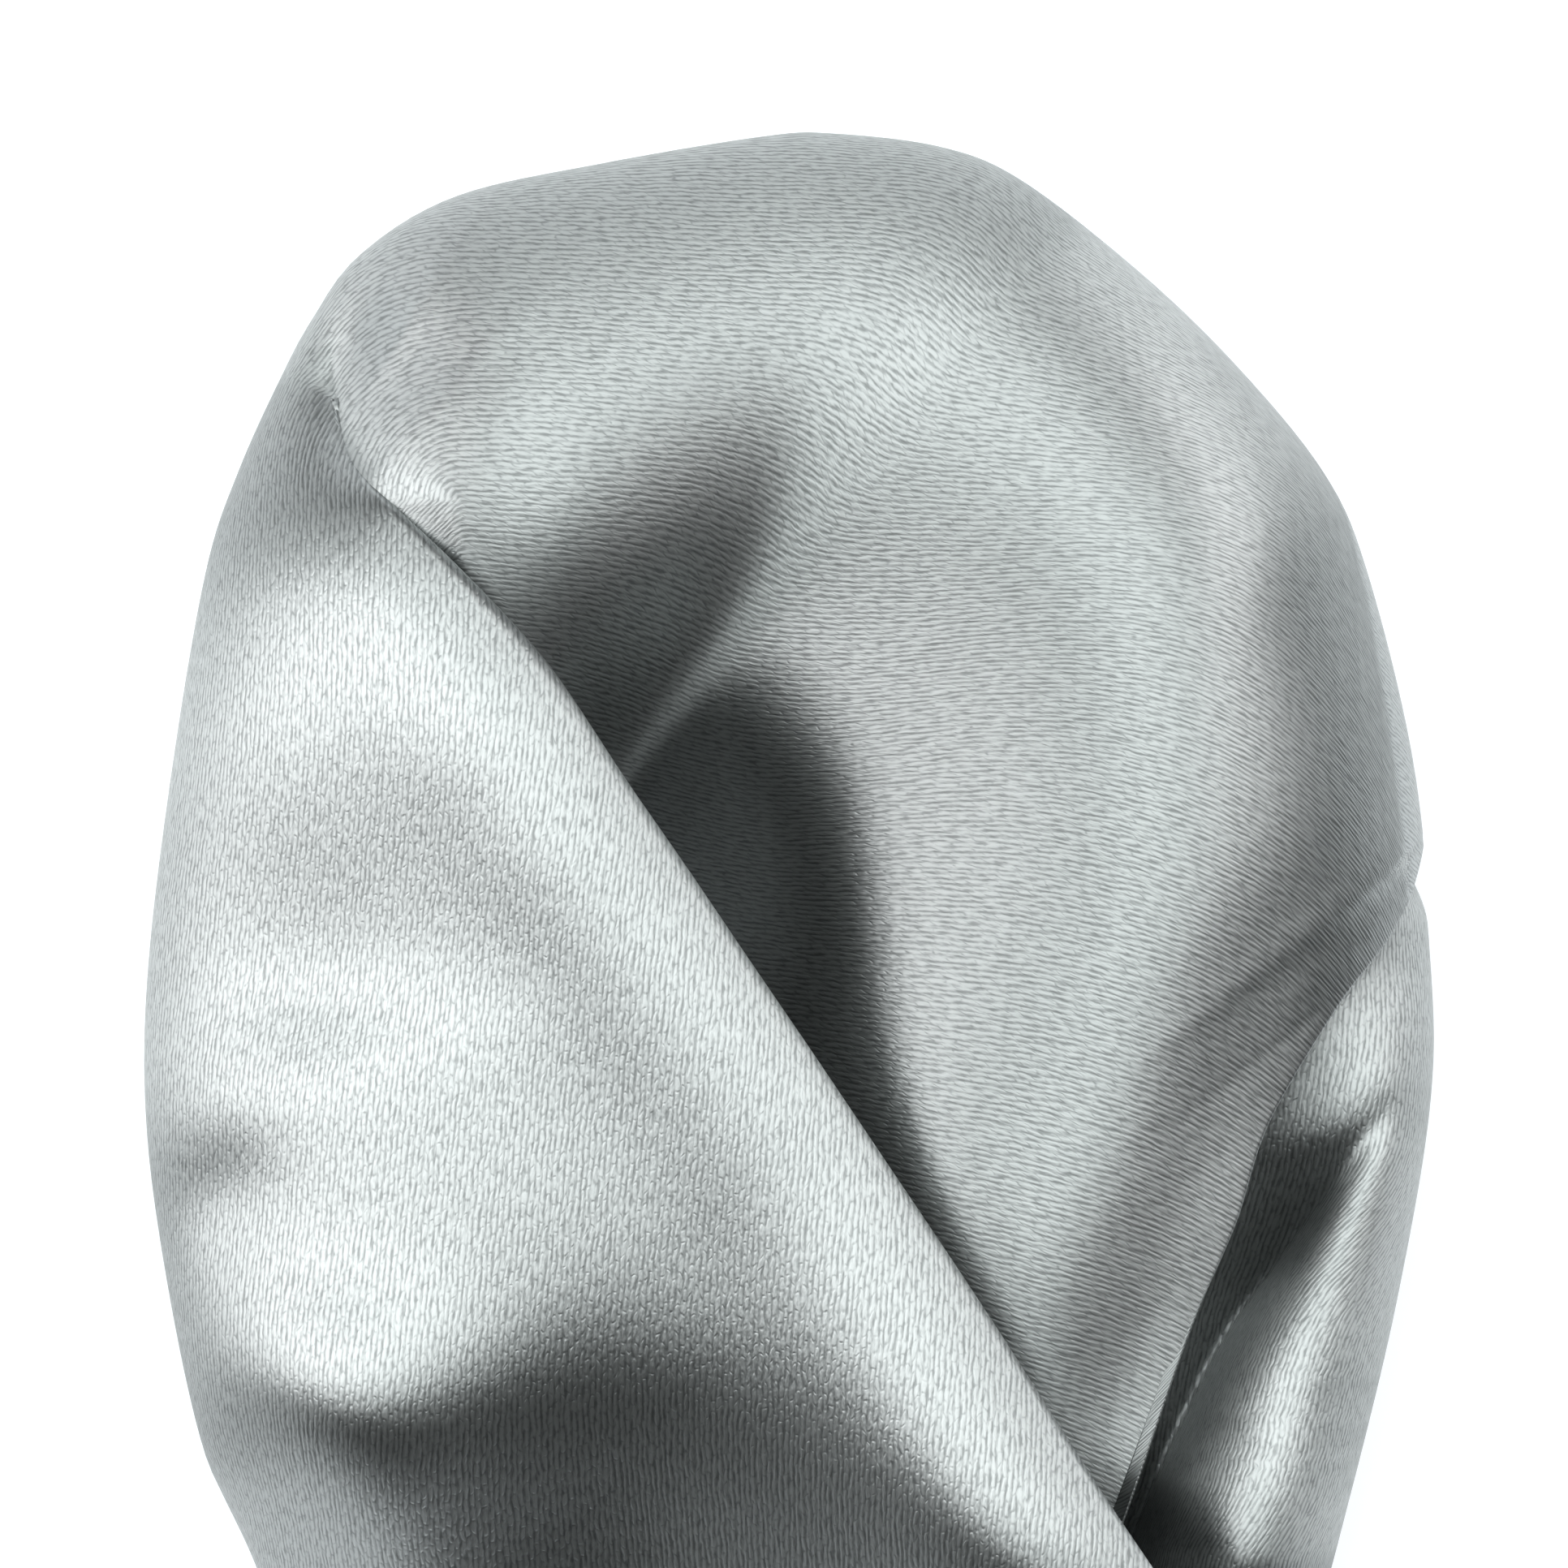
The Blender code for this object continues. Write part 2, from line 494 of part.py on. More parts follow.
def build_layers(collection, material):
    """The hidden layers and the folded-up tails, as one rounded solid that is layered at its edges."""
    at = np.linspace(0, OUTLINE_PATH.length, 56, endpoint=False)
    edge, inward = OUTLINE_PATH.at(at), OUTLINE_PATH.inward(at)
    neck = neck_share(edge[:, 1])
    middle = np.array(MIDDLE)

    def ring(inset, neck_inset, height):
        place = edge + inward * (inset + (neck_inset - inset) * neck)[:, None]
        return np.column_stack([place, np.broadcast_to(height, len(at))])

    rim = ring(LAYER_SHOULDER[0].inset, LAYER_SHOULDER[0].neck_inset, 0.0)[:, :2]
    rings = []
    for share in np.linspace(0, 1, 10)[1:]:
        place = middle + (rim - middle) * share
        rings.append(np.column_stack([place, lowest_around(layers_height, place[:, 0], place[:, 1])]))
    tails_top = TAIL_LAYERS * TAIL_LAYER
    rim_height = rings[-1][:, 2]
    for row in LAYER_SHOULDER[1:]:
        rings.append(ring(row.inset, row.neck_inset, tails_top + (rim_height - tails_top) * row.share))
    for layer in reversed(range(TAIL_LAYERS)):
        floor = layer * TAIL_LAYER
        rings.append(ring(TAIL_INSET, NECK_TAIL_INSET, floor + TAIL_LAYER))
        if layer > 0:
            rings.append(ring(TAIL_INSET, NECK_TAIL_INSET, floor + TAIL_GROOVE))
            groove = (TAIL_INSET + GROOVE_DEPTH, NECK_TAIL_INSET + GROOVE_DEPTH, floor + TAIL_GROOVE / 2)
            rings.append(ring(*groove))
    rings.append(ring(TAIL_INSET, NECK_TAIL_INSET, 0.0))
    top = lowest_around(layers_height, middle[:1], middle[1:])[0]
    count = len(at)
    faces = []
    for k in range(count):
        after = (k + 1) % count
        faces.append((0, 1 + after, 1 + k))
        for near in range(1, 1 + (len(rings) - 1) * count, count):
            far = near + count
            faces.append((near + k, near + after, far + after, far + k))
    last = 1 + (len(rings) - 1) * count
    faces.append([last + k for k in range(count)])
    return add_object("tucked_layers", np.vstack([[*middle, top]] + rings), faces, collection, material)


def main():
    """Builds the pieces."""
    for old in list(bpy.data.objects):
        bpy.data.objects.remove(old)
    collection = bpy.data.collections.new("pocket_square")
    bpy.context.scene.collection.children.link(collection)
    satin, shade = new_material(SATIN), new_material(SATIN_SHADE)
    build_wrap(collection, satin)
    build_puff(collection, satin)
    build_side(collection, satin)
    build_layers(collection, shade)


if __name__ == "__main__":
    main()
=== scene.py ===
"""The looks of a silver satin pocket square in a puff fold, lying on its back on a pale table.

The lengths in the tables are in millimetres. X is to the right across the puff, Y runs up from the
gathered neck to the rounded top, and Z is up from the table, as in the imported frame.
"""

import logging
import math
from dataclasses import dataclass
from enum import Enum
from typing import Callable, NamedTuple, Sequence

import bpy
import numpy as np
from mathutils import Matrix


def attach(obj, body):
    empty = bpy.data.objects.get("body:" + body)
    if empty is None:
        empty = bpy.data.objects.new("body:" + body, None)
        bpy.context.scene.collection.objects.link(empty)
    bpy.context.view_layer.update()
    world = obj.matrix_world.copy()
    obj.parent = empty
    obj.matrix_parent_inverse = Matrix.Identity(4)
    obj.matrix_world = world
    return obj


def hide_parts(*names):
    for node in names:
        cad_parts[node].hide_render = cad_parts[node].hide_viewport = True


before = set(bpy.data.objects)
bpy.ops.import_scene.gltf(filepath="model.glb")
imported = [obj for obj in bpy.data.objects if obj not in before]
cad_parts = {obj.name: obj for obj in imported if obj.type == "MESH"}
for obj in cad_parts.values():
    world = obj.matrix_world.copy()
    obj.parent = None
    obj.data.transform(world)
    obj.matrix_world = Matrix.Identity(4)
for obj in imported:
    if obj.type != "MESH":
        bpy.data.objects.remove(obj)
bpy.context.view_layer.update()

MM = 0.001
WEAVE_MAP = "weave"

# The power of the curve round an edge, which is a little fuller than a circle's
EDGE_POWER = 2.2
# The least length that a direction is divided by
TINY = 1e-9

Field = np.ndarray
log = logging.getLogger("pocket_square")


class Held(Enum):
    """How a stretch of the cloth is held, in the words of the sheet table."""

    FOLDED = "folded"
    LAID = "laid"


class Grain(Enum):
    """Which stretch of the cloth a point of the weave lies on."""

    WRAP = "wrap"
    PUFF = "puff"
    SIDE = "side"


class Point(NamedTuple):
    """A place in the plan, in millimetres."""

    x: float
    y: float


class FormRow(NamedTuple):
    """The form without folds at one Y: three heights across it, its side's height and shoulder."""

    y: float
    left: float
    middle: float
    right: float
    side: float
    shoulder: float


class LipRow(NamedTuple):
    """The wrap's lip at one distance along it, and the puff's hollow beside it."""

    along: float
    drop: float
    hollow: float
    tuck: float
    ridge: float
    roll: float
    bead: float


class SideRow(NamedTuple):
    """How far the side pleat lies below the puff's right edge, and over what width."""

    along: float
    drop: float
    hollow: float


class PairRow(NamedTuple):
    """Where a rib of a sheet starts on its inner edge, and where it ends on its outer one."""

    edge: float
    outer: float


class Crease(NamedTuple):
    """A ridge or trough along a path, with a width to each side and a fade at each end.

    Its crest is soft where tip is 0, or else a fold as sharp as the radius that tip gives.
    """

    height: float
    left: float
    right: float
    fade_in: float
    fade_out: float
    path: tuple[tuple[float, float], ...]
    tip: float = 0.0


class Pleat(NamedTuple):
    """A pleat of the gathered neck: the direction it takes from the gather, and its size."""

    angle: float
    depth: float
    width: float
    reach: float


# The bottom of the groove between the side pleat and the roll, from the right side down under the wrap
GROOVE = ((40.6, 0.9), (39.2, -1.4), (35.4, -6.5), (32.3, -11.1), (28.4, -17.0), (25.7, -22.5),
          (23.2, -28.3), (21.0, -35.5), (19.5, -43.0))


def smooth_step(t: Field) -> Field:
    """Returns 0 below 0, 1 above 1, and a smooth rise between."""
    t = np.clip(t, 0, 1)
    return t * t * (3 - 2 * t)


def round_over(t: Field) -> Field:
    """Returns the profile of a rounded edge: upright at 0, and flat from 1 on."""
    t = np.clip(t, 0, 1)
    return (1 - (1 - t) ** EDGE_POWER) ** (1 / EDGE_POWER)


def read_table(rows: Sequence[NamedTuple], column: str, key: str, value: Field) -> Field:
    """Reads a column of a table on a smooth curve through its rows.

    Args:
        rows: The table.
        column: The column to read.
        key: The column that the rows are ordered by.
        value: Where to read it, in the key's units.

    Returns:
        The column at each value, held level past the table's ends.
    """
    order = sorted(rows, key=lambda row: getattr(row, key))
    keys = np.array([getattr(row, key) for row in order], float)
    values = np.array([getattr(row, column) for row in order], float)
    slopes = np.gradient(values, keys)
    value = np.clip(value, keys[0], keys[-1])
    span = np.clip(np.searchsorted(keys, value) - 1, 0, len(keys) - 2)
    width = keys[span + 1] - keys[span]
    t = (value - keys[span]) / width
    return ((2 * t**3 - 3 * t**2 + 1) * values[span] + (t**3 - 2 * t**2 + t) * width * slopes[span]
            + (3 * t**2 - 2 * t**3) * values[span + 1] + (t**3 - t**2) * width * slopes[span + 1])


class Path:
    """A smooth curve through points in the plan, read by the distance along it.

    It places CHUNK points at a time, to spare memory, and takes its direction over REACH millimetres
    to each side.
    """

    CHUNK = 3000
    REACH = 1.2

    def __init__(
        self, points: Sequence[tuple[float, float]], closed: bool = False, per_span: int = 10
    ) -> None:
        """Draws the curve.

        Args:
            points: The points it goes through.
            closed: Whether it goes on from the last point to the first.
            per_span: How many steps it takes between two points.
        """
        knots = np.array(points, float)
        if closed:
            padded = np.vstack([knots[-1:], knots, knots[:2]])
        else:
            padded = np.vstack([2 * knots[0] - knots[1], knots, 2 * knots[-1] - knots[-2]])
        share = np.linspace(0, 1, per_span, endpoint=False)[:, None]
        spans = []
        for a, b, c, d in zip(padded, padded[1:], padded[2:], padded[3:]):
            spans.append(0.5 * (2 * b + (c - a) * share + (2 * a - 5 * b + 4 * c - d) * share**2
                                + (3 * b - a - 3 * c + d) * share**3))
        last = knots[:1] if closed else knots[-1:]
        self.line = np.vstack(spans + [last])
        steps = np.linalg.norm(np.diff(self.line, axis=0), axis=1)
        self.along = np.concatenate([[0], np.cumsum(steps)])
        self.length = float(self.along[-1])

    def at(self, distance: Field) -> Field:
        """Returns the points at these distances along the path."""
        return np.column_stack([np.interp(distance, self.along, self.line[:, k]) for k in (0, 1)])

    def inward(self, distance: Field) -> Field:
        """Finds the directions to the right of the path, inwards on a clockwise outline.

        Args:
            distance: The places along the path.

        Returns:
            A unit vector in the plan for each place.
        """
        ahead = self.at(np.minimum(distance + self.REACH, self.length))
        run = ahead - self.at(np.maximum(distance - self.REACH, 0))
        run /= np.linalg.norm(run, axis=1)[:, None]
        return np.column_stack([run[:, 1], -run[:, 0]])

    def place(self, x: Field, y: Field) -> tuple[Field, Field]:
        """Finds where points lie beside the path.

        Args:
            x: Their X.
            y: Their Y, in the same shape.

        Returns:
            How far along the path the nearest place is, and how far the point is to its left.
        """
        points = np.column_stack([np.ravel(x), np.ravel(y)])
        start, run = self.line[:-1], np.diff(self.line, axis=0)
        size = np.maximum((run**2).sum(axis=1), 1e-12)
        along, across = np.empty(len(points)), np.empty(len(points))
        for first in range(0, len(points), self.CHUNK):
            part = slice(first, first + self.CHUNK)
            from_start = points[part, None, :] - start[None]
            share = np.clip((from_start * run).sum(axis=2) / size, 0, 1)
            away = from_start - share[..., None] * run
            distance = np.sqrt((away**2).sum(axis=2))
            near = distance.argmin(axis=1)
            row = np.arange(len(near))
            along[part] = self.along[near] + share[row, near] * np.sqrt(size[near])
            side = run[near, 0] * away[row, near, 1] - run[near, 1] * away[row, near, 0]
            across[part] = np.where(side >= 0, 1, -1) * distance[row, near]
        return along.reshape(np.shape(x)), across.reshape(np.shape(x))


def add_creases(creases: Sequence[Crease], x: Field, y: Field) -> Field:
    """Adds up a list of creases.

    Args:
        creases: The creases.
        x: X of the points to read.
        y: Y of the points, in the same shape.

    Returns:
        What the creases add to the height at each point.
    """
    height = np.zeros(np.shape(x))
    for crease in creases:
        path = Path(crease.path)
        along, across = path.place(x, y)
        width = np.where(across > 0, crease.left, crease.right)
        share = along / path.length
        fade = np.ones(np.shape(x))
        if crease.fade_in > 0:
            fade = smooth_step(share / crease.fade_in)
        if crease.fade_out > 0:
            fade = fade * smooth_step((1 - share) / crease.fade_out)
        if crease.tip > 0:
            profile = np.exp(-(np.hypot(across, crease.tip) - crease.tip) / width)
        else:
            profile = np.exp(-((across / width) ** 2))
        height += crease.height * fade * profile
    return height


@dataclass(frozen=True)
class PuffForm:
    """The shape of the folded square: its outline, its edges, and the height of each sheet."""

    outline: tuple[tuple[float, float], ...] = (
        (-33.6, 46.5), (-31.7, 50.1), (-28.5, 54.4), (-22.1, 58.3), (-12.4, 60.5), (-1.7, 62.3),
        (2.9, 62.5), (10.1, 61.6), (15.4, 59.4), (23.0, 53.5), (29.4, 47.3), (35.3, 40.1),
        (38.2, 33.6), (41.3, 20.8), (42.5, 7.9), (42.4, -1.7), (40.2, -14.6), (37.1, -27.5),
        (34.2, -38.0), (30.0, -48.0), (24.5, -56.8), (15.0, -62.1), (0.0, -63.0), (-15.0, -62.1),
        (-24.5, -56.4), (-30.6, -46.0), (-35.4, -32.4), (-38.7, -24.3), (-41.4, -11.4),
        (-42.5, -1.7), (-42.3, 7.9), (-40.7, 20.8), (-38.5, 33.6), (-36.4, 40.1),
    )
    wrap_edge: tuple[tuple[float, float], ...] = (
        (-29.6, 44.5), (-28.8, 41.5), (-27.4, 39.1), (-21.6, 33.7), (-15.3, 27.3), (-10.0, 19.7),
        (-4.8, 12.2), (4.0, -0.9), (13.5, -15.0), (24.1, -31.5), (28.0, -37.0), (32.6, -42.4),
    )
    puff_edge: tuple[tuple[float, float], ...] = (
        (41.9, 15.6), (40.4, 11.7), (38.4, 8.6), (35.5, 5.0), (31.0, -2.4), (28.8, -9.0),
        (26.0, -15.6), (22.9, -24.6), (20.5, -32.0),
    )
    side_edge: tuple[tuple[float, float], ...] = (
        (34.5, 27.0), (33.0, 14.0), (28.0, 4.0), (23.5, -8.0), (19.5, -19.0), (17.0, -29.0),
        (18.5, -37.0), (24.5, -42.8),
    )
    station: float = 30.0
    station_limit: float = 1.4
    form_rows: tuple[FormRow, ...] = (
        FormRow(62.5, 25.0, 26.0, 25.5, 11.0, 26.0),
        FormRow(48.0, 29.0, 29.8, 30.0, 11.5, 28.0),
        FormRow(25.0, 31.5, 31.4, 32.0, 12.0, 30.0),
        FormRow(0.0, 30.5, 31.5, 32.5, 12.5, 30.0),
        FormRow(-10.0, 30.5, 31.0, 31.5, 12.5, 27.0),
        FormRow(-20.0, 30.2, 29.5, 29.8, 12.5, 21.0),
        FormRow(-30.0, 24.4, 26.6, 28.4, 12.0, 15.0),
        FormRow(-42.0, 16.5, 21.5, 22.0, 10.5, 13.0),
        FormRow(-52.0, 15.5, 17.0, 16.0, 9.5, 11.0),
        FormRow(-62.5, 14.5, 15.5, 15.0, 9.0, 9.0),
    )
    lip_rows: tuple[LipRow, ...] = (
        LipRow(0.0, 0.0, 4.0, 0.0, 0.0, 0.0, 0.05),
        LipRow(3.5, 0.7, 4.2, 0.8, 0.0, 0.5, 0.2),
        LipRow(7.0, 1.4, 4.4, 2.2, 0.2, 0.8, 0.35),
        LipRow(11.0, 1.8, 4.8, 4.0, 0.4, 1.0, 0.5),
        LipRow(15.0, 2.6, 5.0, 5.2, 0.5, 1.0, 0.7),
        LipRow(20.0, 3.8, 6.2, 6.2, 0.8, 1.2, 0.9),
        LipRow(24.0, 4.6, 8.0, 7.0, 1.0, 1.2, 1.0),
        LipRow(28.0, 6.4, 8.5, 7.5, 1.0, 1.2, 1.0),
        LipRow(33.0, 8.2, 8.0, 7.5, 1.2, 1.2, 1.0),
        LipRow(38.0, 8.6, 7.6, 7.5, 1.2, 1.2, 1.0),
        LipRow(46.0, 6.6, 6.2, 7.5, 1.2, 1.2, 1.0),
        LipRow(54.0, 3.8, 5.0, 7.5, 1.2, 1.0, 0.9),
        LipRow(62.0, 3.0, 4.0, 7.5, 1.2, 1.0, 0.9),
        LipRow(72.0, 2.4, 3.8, 7.5, 1.2, 1.0, 0.9),
        LipRow(86.0, 2.4, 3.8, 6.5, 1.0, 1.0, 0.8),
        LipRow(98.0, 2.8, 4.2, 5.5, 0.6, 1.0, 0.6),
        LipRow(112.0, 2.8, 4.2, 4.5, 0.0, 1.0, 0.6),
    )
    hollow_start: float = 3.0
    hollow_softens: float = 0.3
    hollow_soft_from: float = 40.0
    hollow_soft_blend: float = 12.0
    ridge_at: float = 7.0
    ridge_width: float = 5.0
    roll_width: float = 5.0
    puff_roll: float = 0.7
    puff_roll_start: float = 14.0
    right_shoulder: float = 0.25
    shoulder_blend: float = 20.0
    side_rows: tuple[SideRow, ...] = (
        SideRow(0.0, 2.2, 3.0), SideRow(10.0, 4.2, 5.0), SideRow(25.0, 6.0, 6.5),
        SideRow(45.0, 6.2, 6.0), SideRow(56.0, 5.0, 5.0),
    )
    shared_creases: tuple[Crease, ...] = (
        Crease(-4.4, 6.0, 2.8, 0.5, 0.5,
               ((-24.0, 56.0), (-27.4, 52.0), (-29.4, 48.0), (-29.8, 44.5), (-28.4, 41.0),
                (-24.5, 36.8)), 0.6),
    )
    puff_creases: tuple[Crease, ...] = (
        Crease(-14.0, 24.0, 9.5, 1.0, 0.0,
               ((7.5, 64.0), (6.0, 53.0), (3.2, 43.5), (-0.7, 34.0), (-5.6, 25.0), (-12.0, 16.5),
                (-19.2, 7.5), (-26.5, -2.5))),
        Crease(-6.0, 16.0, 7.0, 0.75, 0.2,
               ((6.5, 62.0), (5.2, 53.0), (2.7, 43.5), (-1.2, 34.0), (-6.0, 25.5), (-12.5, 17.0),
                (-19.2, 7.5), (-26.5, -2.5)), 2.0),
        Crease(1.6, 10.0, 14.0, 0.4, 0.5,
               ((20.0, 57.0), (25.5, 44.0), (26.0, 32.0), (22.5, 20.0), (18.5, 8.0), (16.0, -4.0))),
        Crease(-2.6, 7.0, 5.5, 0.35, 0.1,
               ((40.0, 17.0), (33.5, 9.0), (29.0, 0.0), (26.0, -9.0), (22.0, -20.0), (18.5, -31.0),
                (16.0, -42.0))),
    )
    wrap_creases: tuple[Crease, ...] = (
        Crease(-1.8, 10.0, 9.0, 0.75, 0.25, ((-34.0, 27.0), (-33.0, 18.0), (-32.0, 9.0), (-31.0, 0.0))),
        Crease(-1.1, 3.5, 3.5, 0.5, 0.5, ((-38.5, -3.0), (-36.8, -7.0), (-34.5, -11.5))),
        Crease(6.2, 12.0, 9.0, 0.7, 0.3,
               ((-2.0, -6.0), (4.0, -17.0), (11.0, -27.0), (19.0, -37.0), (28.0, -48.0))),
        Crease(-4.2, 9.0, 8.5, 0.9, 0.2, ((-12.0, -10.0), (-11.5, -27.0), (-9.0, -42.0))),
        Crease(2.4, 7.0, 6.0, 0.5, 0.45,
               ((-31.0, -10.0), (-30.0, -18.0), (-27.0, -26.0), (-22.0, -33.0))),
        Crease(-2.6, 8.0, 8.0, 0.1, 0.2, ((-43.0, -31.0), (-33.0, -38.5), (-25.0, -47.0))),
    )
    side_creases: tuple[Crease, ...] = (
        Crease(-8.5, 0.9, 4.0, 0.42, 0.12, GROOVE, 0.25),
    )
    gather: Point = Point(0.0, -92.0)
    pleats: tuple[Pleat, ...] = (
        Pleat(-34.0, 1.1, 3.8, -42.0), Pleat(-28.5, 0.5, 1.8, -47.0), Pleat(-23.5, 1.5, 4.0, -38.0),
        Pleat(-17.5, 0.6, 1.7, -46.0), Pleat(-12.5, 1.7, 4.0, -36.0), Pleat(-6.5, 0.5, 1.6, -48.0),
        Pleat(-1.5, 1.4, 3.9, -41.0), Pleat(4.5, 0.6, 1.8, -45.0), Pleat(9.5, 1.7, 4.0, -37.0),
        Pleat(15.5, 0.5, 1.6, -47.0), Pleat(20.5, 1.5, 3.9, -41.0), Pleat(26.0, 0.5, 1.7, -48.0),
        Pleat(31.0, 1.1, 3.6, -44.0),
    )
    pleat_fade: float = 14.0
    apron_inset: float = 6.5
    neck_apron_inset: float = 2.6
    neck_top: float = -53.0
    neck_blend: float = 7.0
    side_inset: float = 2.4
    side_lift: float = 1.5
    puff_covers_from: float = 10.0
    puff_covers_blend: float = 8.0
    wrap_covers_from: float = -35.0
    wrap_covers_blend: float = 7.0
    tails_top: float = 4.05

    def outline_path(self) -> Path:
        """Returns the outline seen from above, clockwise from the ear."""
        return Path(self.outline, closed=True)

    def wrap_path(self) -> Path:
        """Returns the wrap's edge, from the ear down to the right side."""
        return Path(self.wrap_edge, per_span=16)

    def puff_path(self) -> Path:
        """Returns the puff's edge over the side pleat, from the right side down to the wrap."""
        return Path(self.puff_edge, per_span=16)

    def form_height(self, x: Field, y: Field, inset: Field | float = 0.0) -> Field:
        """Reads the puff's form with no folds but the crease that wrap and puff share at the ear.

        Args:
            x: X of the points to read.
            y: Y of the points, in the same shape.
            inset: How far the outline is drawn in.

        Returns:
            The height at each point.
        """
        _, across = self.outline_path().place(x, y)
        depth = np.maximum(-across - inset, 0)
        left, middle, right, side, shoulder = (
            read_table(self.form_rows, column, "y", y)
            for column in ("left", "middle", "right", "side", "shoulder")
        )
        shoulder = shoulder * (1 - self.right_shoulder * smooth_step(x / self.shoulder_blend))
        s = np.clip(x / self.station, -self.station_limit, self.station_limit)
        cap = middle + s * (right - left) / 2 + s * s * ((right + left) / 2 - middle)
        shared = add_creases(self.shared_creases, x, y)
        return side + (cap - side) * round_over(depth / shoulder) + shared

    def wrap_height(self, x: Field, y: Field) -> Field:
        """Reads the front wrap, with its ridge, its rolled edge and its creases.

        Args:
            x: X of the points to read.
            y: Y of the points, in the same shape.

        Returns:
            The height at each point.
        """
        along, across = self.wrap_path().place(x, y)
        from_ridge = (across + self.ridge_at) / self.ridge_width
        ridge = read_table(self.lip_rows, "ridge", "along", along) * np.exp(-(from_ridge**2))
        near_edge = np.clip(1 - np.abs(across) / self.roll_width, 0, 1)
        roll = read_table(self.lip_rows, "roll", "along", along) * near_edge**2
        return self.form_height(x, y) + ridge - roll + add_creases(self.wrap_creases, x, y)

    def puff_floor(self, x: Field, y: Field, inset: Field | float = 0.0) -> Field:
        """Reads the back puff, which drops beside the wrap, with no rolled edge.

        Args:
            x: X of the points to read.
            y: Y of the points, in the same shape.
            inset: How far the outline is drawn in.

        Returns:
            The height at each point.
        """
        along, across = self.wrap_path().place(x, y)
        drop, hollow = (read_table(self.lip_rows, column, "along", along) for column in ("drop", "hollow"))
        beside = np.exp(-((np.maximum(across + self.hollow_start, 0) / hollow) ** 2))
        past_start = smooth_step((along - self.hollow_soft_from) / self.hollow_soft_blend)
        creases = add_creases(self.puff_creases, x, y) * (1 - self.hollow_softens * beside * past_start)
        return self.form_height(x, y, inset) + creases - drop * beside

    def puff_height(self, x: Field, y: Field) -> Field:
        """Reads the back puff, with its edge rolled down over the side pleat.

        Args:
            x: X of the points to read.
            y: Y of the points, in the same shape.

        Returns:
            The height at each point.
        """
        along, across = self.puff_path().place(x, y)
        near_edge = np.clip(1 - np.abs(across) / self.roll_width, 0, 1)
        roll = self.puff_roll * smooth_step(along / self.puff_roll_start)
        return self.puff_floor(x, y) - roll * near_edge**2

    def side_covered(self, y: Field) -> Field:
        """Returns 1 where the puff or the wrap covers the side pleat's outer side, and 0 elsewhere."""
        return (smooth_step((y - self.puff_covers_from) / self.puff_covers_blend)
                + smooth_step((self.wrap_covers_from - y) / self.wrap_covers_blend))

    def side_height(self, x: Field, y: Field) -> Field:
        """Reads the side pleat and the roll, which lie below the puff where that covers them.

        Args:
            x: X of the points to read.
            y: Y of the points, in the same shape.

        Returns:
            The height at each point.
        """
        along, across = self.puff_path().place(x, y)
        drop, hollow = (read_table(self.side_rows, column, "along", along) for column in ("drop", "hollow"))
        under_puff = drop * np.exp(-((np.maximum(across, 0) / hollow) ** 2))
        floor = self.puff_floor(x, y, self.side_inset * self.side_covered(y))
        return floor - under_puff + add_creases(self.side_creases, x, y)

    def pleat_depth(self, x: Field, y: Field) -> Field:
        """Reads the neck's pleats.

        Args:
            x: X of the points to read.
            y: Y of the points, in the same shape.

        Returns:
            How deep the pleats are at each point.
        """
        angle = np.degrees(np.arctan2(x - self.gather.x, y - self.gather.y))
        depth = np.zeros(np.shape(x))
        for pleat in self.pleats:
            fade = smooth_step((pleat.reach - y) / self.pleat_fade)
            depth += pleat.depth * fade * np.exp(-(((angle - pleat.angle) / pleat.width) ** 2))
        return depth

    def neck_share(self, y: Field) -> Field:
        """Returns 0 on the body of the puff, rising to 1 at its neck."""
        return smooth_step((self.neck_top - y) / self.neck_blend + 0.5)


@dataclass(frozen=True)
class WeaveLay:
    """How the satin's ribs run over the square: upright on the wrap, round the ear, and level on the puff."""

    turn_x: float = -21.0
    turn_y: float = 38.0
    wrap_lean: float = 5.0
    lean_reach: float = 30.0
    bend_from: float = -5.0
    bend_reach: float = 40.0
    bend_slope: float = 0.8
    bend_limit: float = 1.2
    low_dip: float = 0.16
    dip_from: float = 20.0
    dip_reach: float = 50.0
    side_lean: float = 9.0

    def coordinates(self, grain: Grain, x: Field, y: Field) -> tuple[Field, Field]:
        """Finds the weave's coordinates at places on the flattened cloth.

        Args:
            grain: The stretch of cloth.
            x: X on the flattened cloth.
            y: Y on the flattened cloth.

        Returns:
            How far the place is along its rib, and how far across the ribs, in millimetres.
        """
        if grain is Grain.SIDE:
            lean = math.radians(self.side_lean)
            return x * math.sin(lean) + y * math.cos(lean), x * math.cos(lean) - y * math.sin(lean)
        dx, dy = x - self.turn_x, y - self.turn_y
        radius = np.hypot(dx, dy)
        turned = np.pi - np.arctan2(dy, np.minimum(dx, -TINY))
        arc = radius * np.clip(turned, 0, np.pi / 2)
        if grain is Grain.WRAP:
            lean = math.tan(math.radians(self.wrap_lean)) * smooth_step(-dy / self.lean_reach) * dy
            around = (dx < 0) & (dy > 0)
            return np.where(around, arc, dy), np.where(around, radius, -dx + lean)
        bend = np.clip((x - self.bend_from) / self.bend_reach, 0, self.bend_limit)
        level = dy + self.bend_slope * self.bend_reach / 4 * bend**4
        level = level + self.low_dip * smooth_step((self.dip_from - y) / self.dip_reach) * np.maximum(x, 0)
        across = np.where(dx >= 0, level, np.where(dy > 0, radius, dy - dx))
        along = np.where(dx >= 0, dx + np.pi / 2 * level, np.where(dy > 0, arc, np.pi / 2 * dy))
        return along, across


